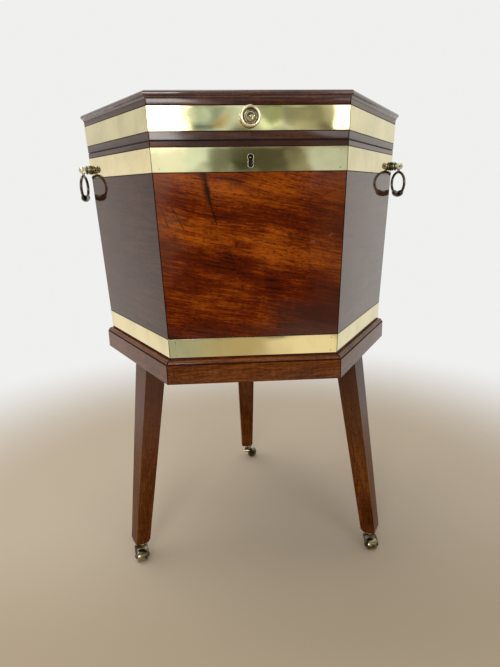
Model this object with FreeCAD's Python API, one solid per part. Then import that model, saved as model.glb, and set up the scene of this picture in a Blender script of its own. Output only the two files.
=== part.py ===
import FreeCAD, Part
import math
import os

from FreeCAD import Placement, Rotation, Vector

# A brass-bound hexagonal cellarette: a tapering hinged casket that stands in a six-sided
# frame on three splayed legs with swivel castors. Millimetres, +Z up, +Y to the back.
# The casket's vertical axis is Z, and the castor wheels touch the floor at Z = 0.
# "Apothem" is the distance from the axis to the middle of a side.

# ---- driving dimensions -------------------------------------------------------------
JOINT_Z = 651.5          # the line where the lid meets the case
JOINT_GAP = 0.4
TOP_Z = 706.5            # top of the lid board
BOARD_UNDER_Z = 697.0
JOINT_APOTHEM = 208.4    # outer face of the brass at the joint line
TAPER = 0.0418           # apothem lost for each millimetre downwards
BOARD_APOTHEM = 213.9    # nose of the lid's moulded edge

WALL = 15.0              # thickness of the mahogany sides of case and lid
ARRIS = 0.6              # small chamfer along the joint line
BAND = 1.6               # thickness of the brass bands
BAND_PROUD = 0.35        # how far they stand out of the wood
BAND_END_GAP = 0.12      # hairline at each mitred end
LID_BAND_Z = (662.0, 690.0)
RIM_BAND_Z = (615.2, 643.9)
BASE_BAND_Z = (376.8, 403.0)
PIN_RADIUS = 0.9         # brass pins that hold the bands
PIN_LENGTH = 9.0
PIN_END_INSET = 9.0
PIN_EDGE_INSET = 4.0

SEAT_Z = 366.5           # ledge of the stand, on which the case rests
FLOOR_TOP_Z = 378.5      # top of the case's bottom board
LINING_TOP_Z = 598.5
LINING = 1.5
LINING_CLEAR = 0.2

RAIL_BOTTOM_Z = 341.5
RAIL_APOTHEM = 204.6
RAIL_THICK = 22.6
LIP_Z = 374.0
LIP_CLEAR = 1.2
OVOLO = 4.4
QUIRK = 1.2
BLOCK_LEG = 24.0         # glue blocks in the stand's corners
BLOCK_Z = (343.5, 364.5)

LEG_TOP = (20.9, 162.7, 195.3)       # half width, inner and outer distance from the axis
LEG_FOOT = (12.4, 212.7, 236.7)
LEG_END_Z = 29.0
LEG_BEVEL = 5.0
LEG_END_HALF = 10.4
# How far each foot has strayed from its even place: sideways, and out from the axis.
FOOT_STRAY = {"front_left": (-5.0, -5.4), "front_right": (0.9, 1.6), "back": (0.0, 2.0)}
TONGUE_TOP_Z = 364.5
LEG_SCREW_X = 10.0
LEG_SCREW_Z = 353.0

CASTOR_RADIUS = 224.7    # distance from the axis to each castor's stem
WHEEL_RADIUS = 10.0
WHEEL_HALF = 7.5
TRAIL = 11.5
FORK_INSIDE = 8.3        # half the gap between the fork's horns
FORK_OUTSIDE = 11.0
CROWN_Z = (19.2, 22.0)
AXLE_RADIUS = 1.6
AXLE_HALF = 12.2
STEM_RADIUS = 2.5
STEM_TOP_Z = 50.0
RUNNING = 0.1            # radial clearance of anything that turns

HANDLE_Z = 627.0
HANDLE_PIVOT_X = 251.2
RING_RADIUS = 17.2
RING_WIRE = 2.1
RING_GRIP = 4.6
RING_DROP = 26.2         # from the pivot to the ring's centre
RING_TWIST = {"right": 17.0, "left": -3.5}    # each ring has been wrung a little on its neck
EYE_HALF = 2.5
EAR_RADIUS = 5.1
EAR_Y = (2.7, 5.1)
HANDLE_PIN = 1.5

HINGE_LENGTH = 50.0
HINGE_X = 65.0
HINGE_PIN = 1.3
KNUCKLE = 2.8
HINGE_APOTHEM = 210.9
LEAF = 1.6
LEAF_INNER = 195.5
LEAF_OUTER = 207.4
LEAF_GAP = 0.1           # half the gap between the two closed leaves
KNUCKLES = 5
KNUCKLE_GAP = 0.2

KEYHOLE_Z = 632.0
KEYHOLE_RADIUS = 3.4
KEYHOLE_BOTTOM_Z = 620.1
ESCUTCHEON = 0.9
LOCK_HALF = 35.0
LOCK_PLATE_HALF = 42.0
LOCK_Z = (606.5, 649.4)
LOCK_FRONT = 202.5
LOCK_BACK = 191.0
SELVEDGE_FRONT = 204.0
LOCK_WALL = 1.2
KEY_PIN = 1.1
STAPLE_X = 19.0
STAPLE_LOW_Z = 635.0
STAPLE_HOLE_Z = (637.0, 644.5)
BOLT_BAR_Z = (610.5, 617.5)
BOLT_HOOK_Z = (638.5, 642.5)
LINK_HALF = 36.0
LINK_THICK = 1.4

KNOB_Z = 676.0
KNOB_RADIUS = 12.2
KNOB_RIM = 1.8
KNOB_PROUD = 19.5

SIDES = {"front": 0, "front_right": 60, "back_right": 120,
         "back": 180, "back_left": 240, "front_left": 300}
LEG_SIDES = ("front_left", "front_right", "back")
# Where each castor trails, as an angle from +X.
CASTOR_TRAIL = {"front_left": -75, "front_right": -90, "back": -10}

TAN30 = math.tan(math.radians(30))
COS30 = math.cos(math.radians(30))
CASE_TOP_Z = JOINT_Z - JOINT_GAP / 2
LID_BOTTOM_Z = JOINT_Z + JOINT_GAP / 2
LINK_Z = (LID_BOTTOM_Z, LID_BOTTOM_Z + LINK_THICK)


# ---- helpers ------------------------------------------------------------------------
def brass_face(z):
    """Apothem of the outer face of the brass at a height."""
    return JOINT_APOTHEM + (z - JOINT_Z) * TAPER


def wood_face(z):
    return brass_face(z) - BAND_PROUD


def inner_face(z):
    return wood_face(z) - WALL


def outline(points, place):
    """Closed face. A point is (u, v), or (mid u, mid v, u, v) for an arc that ends there."""
    ends = [place(*point[-2:]) for point in points]
    edges = []
    for before, point, end in zip(ends[-1:] + ends[:-1], points, ends):
        if len(point) == 4:
            edges.append(Part.Arc(before, place(*point[:2]), end).toShape())
        else:
            edges.append(Part.makeLine(before, end))
    return Part.Face(Part.Wire(edges))


def on_side(apothem, z):
    return Vector(0, -apothem, z)


def turned(shape, degrees):
    """A copy turned about the axis of the casket."""
    copy = shape.copy()
    copy.rotate(Vector(0, 0, 0), Vector(0, 0, 1), degrees)
    return copy


def fused(shapes):
    return shapes[0].multiFuse(shapes[1:]).removeSplitter()


def side_piece(points, gap=0.0):
    """A length of one section, mitred to run along the front side of the hexagon."""
    reach = 320.0
    bar = outline(points, on_side).extrude(Vector(2 * reach, 0, 0))
    bar.translate(Vector(-reach, 0, 0))
    tip = gap / TAN30
    half = reach * TAN30 - gap
    wedge = Part.Face(Part.makePolygon([Vector(0, -tip, 0), Vector(-half, -reach, 0),
                                        Vector(half, -reach, 0), Vector(0, -tip, 0)]))
    return bar.common(wedge.extrude(Vector(0, 0, TOP_Z + 10)))


def six_sided(points):
    """One solid whose section is the same on all six sides, back to the axis."""
    piece = side_piece(points)
    return fused([turned(piece, degrees) for degrees in SIDES.values()])


def all_round(shapes):
    return [turned(shape, degrees) for degrees in SIDES.values() for shape in shapes]


def lathe(points):
    """Turned about Z from an outline of (radius, height)."""
    face = outline(points, lambda r, z: Vector(r, 0, z))
    return face.revolve(Vector(0, 0, 0), Vector(0, 0, 1), 360)


def laid(shape, origin, axis):
    """Moves a piece made along Z so that it points along axis from origin."""
    copy = shape.copy()
    copy.Placement = Placement(Vector(*origin), Rotation(Vector(0, 0, 1), Vector(*axis)))
    return copy


def rod(radius, start, end):
    start, end = Vector(*start), Vector(*end)
    return Part.makeCylinder(radius, (end - start).Length, start, end - start)


def box(x, y, z):
    """Box from (low, high) pairs."""
    return Part.makeBox(x[1] - x[0], y[1] - y[0], z[1] - z[0], Vector(x[0], y[0], z[0]))


def countersunk(head, shank, depth, length):
    """Screw along +Z with the flat of its head at Z = 0."""
    return lathe([(0, 0), (head, 0), (shank, depth), (shank, length), (0, length + shank)])


def save(name, shape):
    if not shape.isValid() or not shape.Solids or min(s.Volume for s in shape.Solids) <= 0:
        raise RuntimeError(name + " isn't a sound solid")
    kept = shape.Solids[0] if len(shape.Solids) == 1 else Part.makeCompound(shape.Solids)
    kept.exportStep(f"parts/{name}.step")
    print(f"{name}: {len(shape.Solids)} solid(s), {shape.Volume / 1000:.1f} cm3")


# ---- brass bands --------------------------------------------------------------------
def band_strip(low, high):
    """One straight strip of a band, on the front side."""
    return side_piece([(brass_face(low), low), (brass_face(high), high),
                       (brass_face(high) - BAND, high), (brass_face(low) - BAND, low)],
                      BAND_END_GAP)


def band_pins(low, high):
    """The four pins of one strip, on the front side, flush with the brass."""
    pins = []
    for z in (low + PIN_EDGE_INSET, high - PIN_EDGE_INSET):
        face = brass_face(z)
        x = face * TAN30 - PIN_END_INSET
        for across in (-x, x):
            pins.append(rod(PIN_RADIUS, (across, -face, z), (across, PIN_LENGTH - face, z)))
    return pins


# ---- keyhole, lock and link plate ---------------------------------------------------
def keyhole(grow, near, far):
    """Keyhole-shaped bar from one apothem to another, grown by a margin."""
    radius = KEYHOLE_RADIUS + grow
    throat, mouth = 2.4 + grow, 2.9 + grow
    join = KEYHOLE_Z - math.sqrt(radius ** 2 - throat ** 2)
    low = KEYHOLE_BOTTOM_Z - grow
    face = outline([(-throat, join), (0, KEYHOLE_Z + radius, throat, join),
                    (mouth, low + 2.2), (0, low, -mouth, low + 2.2)],
                   lambda x, z: Vector(x, -far, z))
    return face.extrude(Vector(0, far - near, 0))


def escutcheon_span():
    face = brass_face(KEYHOLE_Z)
    return face - 3.6, face + 0.6


def keyhole_escutcheon():
    near, far = escutcheon_span()
    return keyhole(ESCUTCHEON, near, far).cut(keyhole(0, near - 1, far + 1))


def lock_screws():
    screw = countersunk(2.6, 1.3, 1.1, 9.0)
    heights = (LOCK_Z[0] + 5.0, LOCK_Z[1] - 7.9)
    return [laid(screw, (x, -LOCK_BACK, z), (0, -1, 0)) for x in (-38.0, 38.0) for z in heights]


def lock_blocks(inner):
    """Body, plate and selvedge of the lock, as far in as an apothem."""
    low, high = LOCK_Z
    plate = (-LOCK_PLATE_HALF, LOCK_PLATE_HALF)
    return [box((-LOCK_HALF, LOCK_HALF), (-LOCK_FRONT, -inner), (low, high)),
            box(plate, (-LOCK_BACK - LOCK_WALL, -inner), (low - 1, high)),
            box(plate, (-SELVEDGE_FRONT, -inner), (high, CASE_TOP_Z))]


def lock_case():
    """Box lock: a hollow brass case with its selvedge on top and its plate on the inside."""
    low, high = LOCK_Z
    inside = box((-LOCK_HALF + LOCK_WALL, LOCK_HALF - LOCK_WALL),
                 (-LOCK_FRONT + LOCK_WALL, -LOCK_BACK - LOCK_WALL), (low + LOCK_WALL, high))
    shell = fused(lock_blocks(LOCK_BACK)).cut(inside)
    for x in (-STAPLE_X, STAPLE_X):
        slot = box((x - 2.8, x + 2.8), (-201, -192.5), (high - 1, CASE_TOP_Z + 1))
        shell = shell.cut(slot)
    shell = shell.cut(keyhole(0, LOCK_FRONT - LOCK_WALL - 0.5, LOCK_FRONT + 1))
    return shell.cut(Part.makeCompound(lock_screws() + [lock_key_pin()]))


def lock_key_pin():
    """The pin that a pipe key slides on, riveted through the lock's plate."""
    return rod(KEY_PIN, (0, -LOCK_FRONT - 0.5, KEYHOLE_Z), (0, -LOCK_BACK, KEYHOLE_Z))


def lock_bolt():
    """Comb bolt: a bar low in the case and two upright hooks that point to the right."""
    thick = (-198.0, -195.5)
    pieces = [box((-32, 9.5), thick, BOLT_BAR_Z)]
    for upright in (-32.0, 6.0):
        pieces.append(box((upright, upright + 3.5), thick, (BOLT_BAR_Z[0], BOLT_HOOK_Z[1])))
        pieces.append(box((upright, upright + 10.5), thick, BOLT_HOOK_Z))
    return fused(pieces)


def link_plate_screws():
    screw = countersunk(3.0, 1.5, LINK_THICK, 14.0)
    return [laid(screw, (x, -198.0, LINK_Z[0]), (0, 0, 1)) for x in (-29.0, 29.0)]


def link_plate():
    """Plate under the lid's front with two staples that drop into the lock."""
    pieces = [box((-LINK_HALF, LINK_HALF), (-SELVEDGE_FRONT, -192.9), LINK_Z)]
    for x in (-STAPLE_X, STAPLE_X):
        loop = box((x - 2, x + 2), (-200.2, -193.3), (STAPLE_LOW_Z, LID_BOTTOM_Z))
        pieces.append(loop.cut(box((x - 3, x + 3), (-198.6, -194.9), STAPLE_HOLE_Z)))
    return fused(pieces).cut(Part.makeCompound(link_plate_screws()))


# ---- butt hinges, made at the front side and turned to the back ---------------------
def leaf_span(lower):
    if lower:
        return JOINT_Z - LEAF_GAP - LEAF, JOINT_Z - LEAF_GAP
    return JOINT_Z + LEAF_GAP, JOINT_Z + LEAF_GAP + LEAF


def hinge_leaf(middle, lower):
    """One leaf with its knuckles: the lower leaf has the odd ones, the upper the even."""
    segment = HINGE_LENGTH / KNUCKLES
    left = middle - HINGE_LENGTH / 2
    z = leaf_span(lower)
    pieces = [box((left, left + HINGE_LENGTH), (-LEAF_OUTER, -LEAF_INNER), z)]
    for index in range(0 if lower else 1, KNUCKLES, 2):
        start = left + index * segment + KNUCKLE_GAP / 2
        end = start + segment - KNUCKLE_GAP
        pieces.append(box((start, end), (-HINGE_APOTHEM, -LEAF_OUTER), z))
        pieces.append(rod(KNUCKLE, (start, -HINGE_APOTHEM, JOINT_Z),
                          (end, -HINGE_APOTHEM, JOINT_Z)))
    bore = HINGE_PIN if lower else HINGE_PIN + RUNNING
    hole = rod(bore, (left - 1, -HINGE_APOTHEM, JOINT_Z),
               (left + HINGE_LENGTH + 1, -HINGE_APOTHEM, JOINT_Z))
    return fused(pieces).cut(Part.makeCompound([hole] + hinge_screws(lower)))


def hinge_screws(lower):
    screw = countersunk(3.0, 1.5, LEAF, 15.0)
    z = JOINT_Z - LEAF_GAP if lower else JOINT_Z + LEAF_GAP
    direction = (0, 0, -1 if lower else 1)
    return [laid(screw, (middle + across, -201.5, z), direction)
            for middle in (-HINGE_X, HINGE_X) for across in (-16.0, 0.0, 16.0)]


def hinge_pins():
    half = HINGE_LENGTH / 2
    return [rod(HINGE_PIN, (middle - half, -HINGE_APOTHEM, JOINT_Z),
                (middle + half, -HINGE_APOTHEM, JOINT_Z)) for middle in (-HINGE_X, HINGE_X)]


def leaf_recesses(lower):
    """Room for both leaves of one kind, open to the joint line and to the outside."""
    low, high = leaf_span(lower)
    z = (low, JOINT_Z + 1) if lower else (JOINT_Z - 1, high)
    half = HINGE_LENGTH / 2
    return [box((middle - half, middle + half), (-LEAF_OUTER - 2, -LEAF_INNER), z)
            for middle in (-HINGE_X, HINGE_X)]


# ---- ring handles, made on the right-hand corner ------------------------------------
def handle_shank():
    return rod(2.5, (211.5, 0, HANDLE_Z), (243, 0, HANDLE_Z))


def handle_post(casket):
    """Turned boss with two thin collars on the corner, and two ears for the ring's pin."""
    boss = lathe([(0, 230), (4.6, 230), (4.6, 239.4), (6.0, 239.4), (6.7, 240.8, 6.0, 242.2),
                  (3.4, 242.5), (3.4, 243.5), (5.8, 243.7), (6.5, 245.0, 5.8, 246.3), (0, 246.3)])
    pieces = [laid(boss, (0, 0, HANDLE_Z), (1, 0, 0)).cut(casket), handle_shank()]
    for low, high in ((-EAR_Y[1], -EAR_Y[0]), EAR_Y):
        pieces.append(box((245.2, HANDLE_PIVOT_X), (low, high),
                          (HANDLE_Z - 3.6, HANDLE_Z + 3.6)))
        pieces.append(rod(EAR_RADIUS, (HANDLE_PIVOT_X, low, HANDLE_Z),
                          (HANDLE_PIVOT_X, high, HANDLE_Z)))
    return fused(pieces).cut(handle_pin())


def handle_pin():
    return rod(HANDLE_PIN, (HANDLE_PIVOT_X, -5.9, HANDLE_Z), (HANDLE_PIVOT_X, 5.9, HANDLE_Z))


def handle_nut():
    nut = lathe([(2.5, 0), (6.0, 0), (6.0, 3.6), (5.0, 4.6), (2.5, 4.6)])
    return laid(nut, (217.6, 0, HANDLE_Z), (-1, 0, 0))


def handle_ring(twist):
    """Ring with a thick grip below, twisted on the neck of the eye that it hangs from."""
    pivot = Vector(HANDLE_PIVOT_X, 0, HANDLE_Z)
    centre = pivot - Vector(0, 0, RING_DROP)
    spread = math.radians(34)
    across, down = RING_RADIUS * math.sin(spread), RING_RADIUS * math.cos(spread)
    start = centre + Vector(0, -across, -down)
    end = centre + Vector(0, across, -down)
    arc = Part.Arc(start, centre - Vector(0, 0, RING_RADIUS), end)
    thick = Part.Wire(Part.makeCircle(RING_GRIP, start, Vector(0, down, -across)))
    grip = Part.Wire(arc.toShape()).makePipeShell([thick], True, False)
    hoop = fused([Part.makeTorus(RING_RADIUS, RING_WIRE, centre, Vector(1, 0, 0)), grip,
                  Part.makeSphere(RING_GRIP, start), Part.makeSphere(RING_GRIP, end)])
    hoop.rotate(pivot, Vector(0, 0, 1), twist)
    eye = rod(4.4, (HANDLE_PIVOT_X, -EYE_HALF, HANDLE_Z), (HANDLE_PIVOT_X, EYE_HALF, HANDLE_Z))
    neck = Part.makeCylinder(2.1, RING_DROP - RING_RADIUS - 3.0,
                             centre + Vector(0, 0, RING_RADIUS))
    bore = rod(HANDLE_PIN + RUNNING, (HANDLE_PIVOT_X, -4, HANDLE_Z),
               (HANDLE_PIVOT_X, 4, HANDLE_Z))
    return fused([hoop, eye, neck]).cut(bore)


# ---- knob ---------------------------------------------------------------------------
def knob_shank():
    face = brass_face(KNOB_Z)
    return rod(2.4, (0, -face - 2, KNOB_Z), (0, 12.0 - face, KNOB_Z))


def lid_knob(backing):
    """Turned knob with a rolled rim and a dished, ringed face, screwed into the lid."""
    r, p, rim = KNOB_RADIUS, KNOB_PROUD, KNOB_RIM
    body = lathe([(0, -1), (8.0, -1), (8.0, 1.2), (6.2, 2.6), (5.0, 6.0), (5.6, 9.6, 8.4, 12.4),
                  (r - rim, p - 2 * rim), (r, p - rim, r - rim, p), (9.2, p - 0.5),
                  (8.6, p - 2.3), (7.2, p - 2.9), (5.8, p - 2.6), (5.3, p - 1.6), (4.3, p - 1.6),
                  (3.8, p - 2.9), (1.5, p - 3.1), (1.3, p - 2.1), (0.7, p - 1.6), (0, p - 1.6)])
    body = laid(body, (0, -brass_face(KNOB_Z), KNOB_Z), (0, -1, 0)).cut(backing)
    return fused([body, knob_shank()])


# ---- the case -----------------------------------------------------------------------
def case_side():
    return side_piece([(wood_face(SEAT_Z), SEAT_Z),
                       (wood_face(CASE_TOP_Z - ARRIS), CASE_TOP_Z - ARRIS),
                       (wood_face(CASE_TOP_Z) - ARRIS, CASE_TOP_Z),
                       (inner_face(CASE_TOP_Z), CASE_TOP_Z),
                       (inner_face(SEAT_Z), SEAT_Z)])


def handle_holes():
    shank = handle_shank()
    return [shank, turned(shank, 180)]


def make_case():
    rim_strip, base_strip = band_strip(*RIM_BAND_Z), band_strip(*BASE_BAND_Z)
    pins = band_pins(*RIM_BAND_Z) + band_pins(*BASE_BAND_Z)
    pin_holes = Part.makeCompound(all_round(pins))
    near, far = escutcheon_span()
    key_way = [keyhole(ESCUTCHEON, near, far + 1), keyhole(0, LOCK_FRONT - 1, near + 1)]
    save("case_band_pins", pin_holes)

    blank = case_side().cut(Part.makeCompound([rim_strip, base_strip] + pins))
    for name, degrees in SIDES.items():
        side = turned(blank, degrees).cut(Part.makeCompound(handle_holes()))
        if name == "front":
            for room in [fused(lock_blocks(180.0))] + key_way + lock_screws():
                side = side.cut(room)
        if name == "back":
            hinge_room = Part.makeCompound(leaf_recesses(True) + hinge_screws(True))
            side = side.cut(turned(hinge_room, 180))
        save("case_side_" + name, side)

    save("case_bottom", six_sided([(0, SEAT_Z), (inner_face(SEAT_Z), SEAT_Z),
                                   (inner_face(FLOOR_TOP_Z), FLOOR_TOP_Z), (0, FLOOR_TOP_Z)]))
    low, high = FLOOR_TOP_Z, LINING_TOP_Z
    foot, rim = inner_face(low) - LINING_CLEAR, inner_face(high) - LINING_CLEAR
    save("case_lining", six_sided([(0, low), (foot, low), (rim, high), (rim - LINING, high),
                                   (foot - LINING, low + LINING), (0, low + LINING)]))
    cutters = Part.makeCompound(handle_holes() + [key_way[0]])
    rim_band = Part.makeCompound(all_round([rim_strip])).cut(pin_holes).cut(cutters)
    save("rim_band", rim_band)
    save("base_band", Part.makeCompound(all_round([base_strip])).cut(pin_holes))
    save("keyhole_escutcheon", keyhole_escutcheon())
    save("lock_case", lock_case())
    save("lock_key_pin", lock_key_pin())
    save("lock_bolt", lock_bolt())
    back_screws = [turned(screw, 180) for screw in hinge_screws(True)]
    save("case_screws", Part.makeCompound(lock_screws() + back_screws))


def make_handles():
    casket = six_sided([(0, 600), (brass_face(600), 600), (brass_face(JOINT_Z), JOINT_Z),
                        (0, JOINT_Z)])
    post = handle_post(casket)
    for name, degrees in (("right", 0), ("left", 180)):
        save("handle_post_" + name, turned(post, degrees))
        save("handle_ring_" + name, turned(handle_ring(RING_TWIST[name]), degrees))
    save("handle_pins", Part.makeCompound([handle_pin(), turned(handle_pin(), 180)]))
    save("handle_nuts", Part.makeCompound([handle_nut(), turned(handle_nut(), 180)]))


def make_hinges():
    for name, lower in (("hinge_case_leaves", True), ("hinge_lid_leaves", False)):
        leaves = [hinge_leaf(middle, lower) for middle in (-HINGE_X, HINGE_X)]
        save(name, Part.makeCompound([turned(leaf, 180) for leaf in leaves]))
    save("hinge_pins", Part.makeCompound([turned(pin, 180) for pin in hinge_pins()]))


# ---- the lid ------------------------------------------------------------------------
def lid_board():
    """Flat board with a rounded nose over a small cove."""
    nose, under = BOARD_APOTHEM, BOARD_UNDER_Z
    frieze = wood_face(under)
    return six_sided([(0, under), (frieze + 0.6, under),
                      (frieze + 1.2, under + 2.6, nose - 1.0, under + 3.6),
                      (nose - 0.2, under + 3.6), (nose - 0.2, under + 4.4),
                      (nose, under + 6.4, nose - 2.8, TOP_Z), (0, TOP_Z)])


def lid_side():
    return side_piece([(wood_face(LID_BOTTOM_Z) - ARRIS, LID_BOTTOM_Z),
                       (wood_face(LID_BOTTOM_Z + ARRIS), LID_BOTTOM_Z + ARRIS),
                       (wood_face(BOARD_UNDER_Z), BOARD_UNDER_Z),
                       (inner_face(BOARD_UNDER_Z), BOARD_UNDER_Z),
                       (inner_face(LID_BOTTOM_Z), LID_BOTTOM_Z)])


def make_lid():
    strip, pins = band_strip(*LID_BAND_Z), band_pins(*LID_BAND_Z)
    pin_holes = Part.makeCompound(all_round(pins))
    save("lid_band_pins", pin_holes)
    save("lid_board", lid_board())

    blank = lid_side().cut(Part.makeCompound([strip] + pins))
    plate_room = box((-LINK_HALF, LINK_HALF), (-SELVEDGE_FRONT, -180), LINK_Z)
    for name, degrees in SIDES.items():
        side = turned(blank, degrees)
        if name == "front":
            for room in [plate_room, knob_shank()] + link_plate_screws():
                side = side.cut(room)
        if name == "back":
            hinge_room = Part.makeCompound(leaf_recesses(False) + hinge_screws(False))
            side = side.cut(turned(hinge_room, 180))
        save("lid_side_" + name, side)

    save("lid_band", Part.makeCompound(all_round([strip])).cut(pin_holes).cut(knob_shank()))
    save("lid_knob", lid_knob(strip))
    save("link_plate", link_plate())
    back_screws = [turned(screw, 180) for screw in hinge_screws(False)]
    save("lid_screws", Part.makeCompound(link_plate_screws() + back_screws))


# ---- the stand ----------------------------------------------------------------------
def stand_rail():
    """Rail with a rebate for the case inside and a quirked ovolo round the top."""
    lip = wood_face(SEAT_Z) + LIP_CLEAR
    shoulder = LIP_Z - OVOLO
    step = RAIL_APOTHEM - QUIRK
    curve = math.sqrt(0.5)
    start = step - OVOLO
    return side_piece([(RAIL_APOTHEM - RAIL_THICK, RAIL_BOTTOM_Z), (RAIL_APOTHEM, RAIL_BOTTOM_Z),
                       (RAIL_APOTHEM, shoulder - 0.5), (step, shoulder),
                       (start + OVOLO * curve, shoulder + OVOLO * curve, start, LIP_Z),
                       (lip, LIP_Z), (lip, SEAT_Z), (RAIL_APOTHEM - RAIL_THICK, SEAT_Z)])


def leg_section(z, stray):
    """Left, right, inner and outer face of the straight part of a leg at a height."""
    share = (RAIL_BOTTOM_Z - z) / (RAIL_BOTTOM_Z - LEG_END_Z)
    half, inner, outer = [top + (foot - top) * share for top, foot in zip(LEG_TOP, LEG_FOOT)]
    side, out = stray[0] * share, stray[1] * share
    return side - half, side + half, inner + out, outer + out


def tapered_block(low_z, low, high_z, high):
    """Six flat faces between two level rectangles, each (left, right, inner, outer)."""
    def corners(z, section):
        left, right, inner, outer = section
        return [Vector(left, -inner, z), Vector(right, -inner, z),
                Vector(right, -outer, z), Vector(left, -outer, z)]
    bottom, top = corners(low_z, low), corners(high_z, high)
    loops = [bottom, top]
    for i in range(4):
        j = (i + 1) % 4
        loops.append([bottom[i], bottom[j], top[j], top[i]])
    faces = [Part.Face(Part.makePolygon(loop + loop[:1])) for loop in loops]
    solid = Part.makeSolid(Part.makeShell(faces))
    if solid.Volume < 0:
        solid.reverse()
    return solid


def leg_screws():
    screw = lathe([(0, 0), (2.9, 0.6, 3.6, 2.3), (1.9, 2.3), (1.9, 32), (0, 35)])
    inner = LEG_TOP[1]
    return [laid(screw, (x, 2.3 - inner, LEG_SCREW_Z), (0, -1, 0))
            for x in (-LEG_SCREW_X, LEG_SCREW_X)]


def castor_place(stray):
    """The foot of a castor's stem, for a leg under the front rail."""
    return Vector(stray[0], -CASTOR_RADIUS - stray[1], 0)


def leg(stray):
    """Square tapering leg under the front rail, with a tongue that rises behind it."""
    bevel_z = LEG_END_Z + LEG_BEVEL
    place = castor_place(stray)
    end = (place.x - LEG_END_HALF, place.x + LEG_END_HALF,
           -place.y - LEG_END_HALF, -place.y + LEG_END_HALF)
    at_bevel, at_top = leg_section(bevel_z, stray), leg_section(RAIL_BOTTOM_Z, stray)
    shaft = tapered_block(bevel_z, at_bevel, RAIL_BOTTOM_Z, at_top)
    foot = tapered_block(LEG_END_Z, end, bevel_z, at_bevel)
    half, inner = LEG_TOP[0], LEG_TOP[1]
    tongue = box((-half, half), (RAIL_THICK - RAIL_APOTHEM, -inner),
                 (RAIL_BOTTOM_Z, TONGUE_TOP_Z))
    hole = rod(STEM_RADIUS, place, place + Vector(0, 0, STEM_TOP_Z))
    return fused([shaft, foot, tongue]).cut(Part.makeCompound([hole] + leg_screws()))


def glue_block():
    """Three-cornered block in the right-hand corner of the stand."""
    corner = (RAIL_APOTHEM - RAIL_THICK) / COS30
    back, across = BLOCK_LEG * 0.5, BLOCK_LEG * COS30
    loop = [Vector(corner, 0, BLOCK_Z[0]), Vector(corner - back, -across, BLOCK_Z[0]),
            Vector(corner - back, across, BLOCK_Z[0])]
    face = Part.Face(Part.makePolygon(loop + loop[:1]))
    return face.extrude(Vector(0, 0, BLOCK_Z[1] - BLOCK_Z[0]))


def make_stand():
    rail = stand_rail()
    bored_rail = rail.cut(Part.makeCompound(leg_screws()))
    for name, degrees in SIDES.items():
        save("stand_rail_" + name, turned(bored_rail if name in LEG_SIDES else rail, degrees))
    for name in LEG_SIDES:
        save("leg_" + name, turned(leg(FOOT_STRAY[name]), SIDES[name]))
    save("leg_screws", Part.makeCompound([turned(screw, SIDES[name])
                                          for name in LEG_SIDES for screw in leg_screws()]))
    save("glue_blocks", Part.makeCompound(all_round([glue_block()])))


# ---- castors, made at the origin and trailing along +X ------------------------------
def castor_stem():
    """Pintle with a turned neck under the leg and a riveted head under the fork's crown."""
    low, high = CROWN_Z
    return lathe([(0, low - 2.0), (3.2, low - 2.0), (3.2, low - 0.1), (STEM_RADIUS, low - 0.1),
                  (STEM_RADIUS, high + 0.1), (4.8, high + 0.1), (4.8, high + 1.2),
                  (4.0, high + 2.0), (4.6, LEG_END_Z), (STEM_RADIUS, LEG_END_Z),
                  (STEM_RADIUS, STEM_TOP_Z), (0, STEM_TOP_Z)])


def castor_axle():
    return rod(AXLE_RADIUS, (TRAIL, -AXLE_HALF, WHEEL_RADIUS), (TRAIL, AXLE_HALF, WHEEL_RADIUS))


def castor_fork():
    """Horseshoe fork: a crown that turns on the stem, and two horns down to the axle."""
    low, high = CROWN_Z
    end = 3.9
    side = outline([(-5.0, low), (-3.5, high), (4.2, high), (6.4, low + 0.2),
                    (TRAIL + end, WHEEL_RADIUS + 1.5),
                    (TRAIL, WHEEL_RADIUS - 4.2, TRAIL - end, WHEEL_RADIUS + 1.5),
                    (2.5, 15.0), (-3.0, 15.5)], lambda x, z: Vector(x, -FORK_OUTSIDE, z))
    body = side.extrude(Vector(0, 2 * FORK_OUTSIDE, 0))
    outer, inner = FORK_OUTSIDE, FORK_INSIDE
    arch = outline([(-outer, 0), (-outer, 16.0), (-8.8, 20.6, -4.0, high), (4.0, high),
                    (8.8, 20.6, outer, 16.0), (outer, 0), (inner, 0), (inner, 17.6),
                    (7.8, 18.7, 6.7, low), (-6.7, low), (-7.8, 18.7, -inner, 17.6), (-inner, 0)],
                   lambda y, z: Vector(-20, y, z))
    bore = Part.makeCylinder(STEM_RADIUS + RUNNING, 20, Vector(0, 0, 10))
    return body.common(arch.extrude(Vector(60, 0, 0))).cut(bore).cut(castor_axle())


def castor_wheel():
    half, bore = WHEEL_HALF, AXLE_RADIUS + RUNNING
    edge = WHEEL_RADIUS - 1.2
    wheel = lathe([(bore, -half), (edge, -half), (WHEEL_RADIUS, 0, edge, half), (bore, half)])
    return laid(wheel, (TRAIL, 0, WHEEL_RADIUS), (0, 1, 0))


def make_castors():
    pieces = {"castor_stem_": castor_stem(), "castor_fork_": castor_fork(),
              "castor_axle_": castor_axle(), "castor_wheel_": castor_wheel()}
    for name in LEG_SIDES:
        to_side = Rotation(Vector(0, 0, 1), SIDES[name])
        place = to_side.multVec(castor_place(FOOT_STRAY[name]))
        for stem, piece in pieces.items():
            copy = turned(piece, CASTOR_TRAIL[name])
            copy.translate(place)
            save(stem + name, copy)


os.makedirs("parts", exist_ok=True)
make_stand()
make_castors()
make_case()
make_handles()
make_hinges()
make_lid()
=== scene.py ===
import math

import bmesh
import bpy
from mathutils import Matrix, Vector


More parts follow.
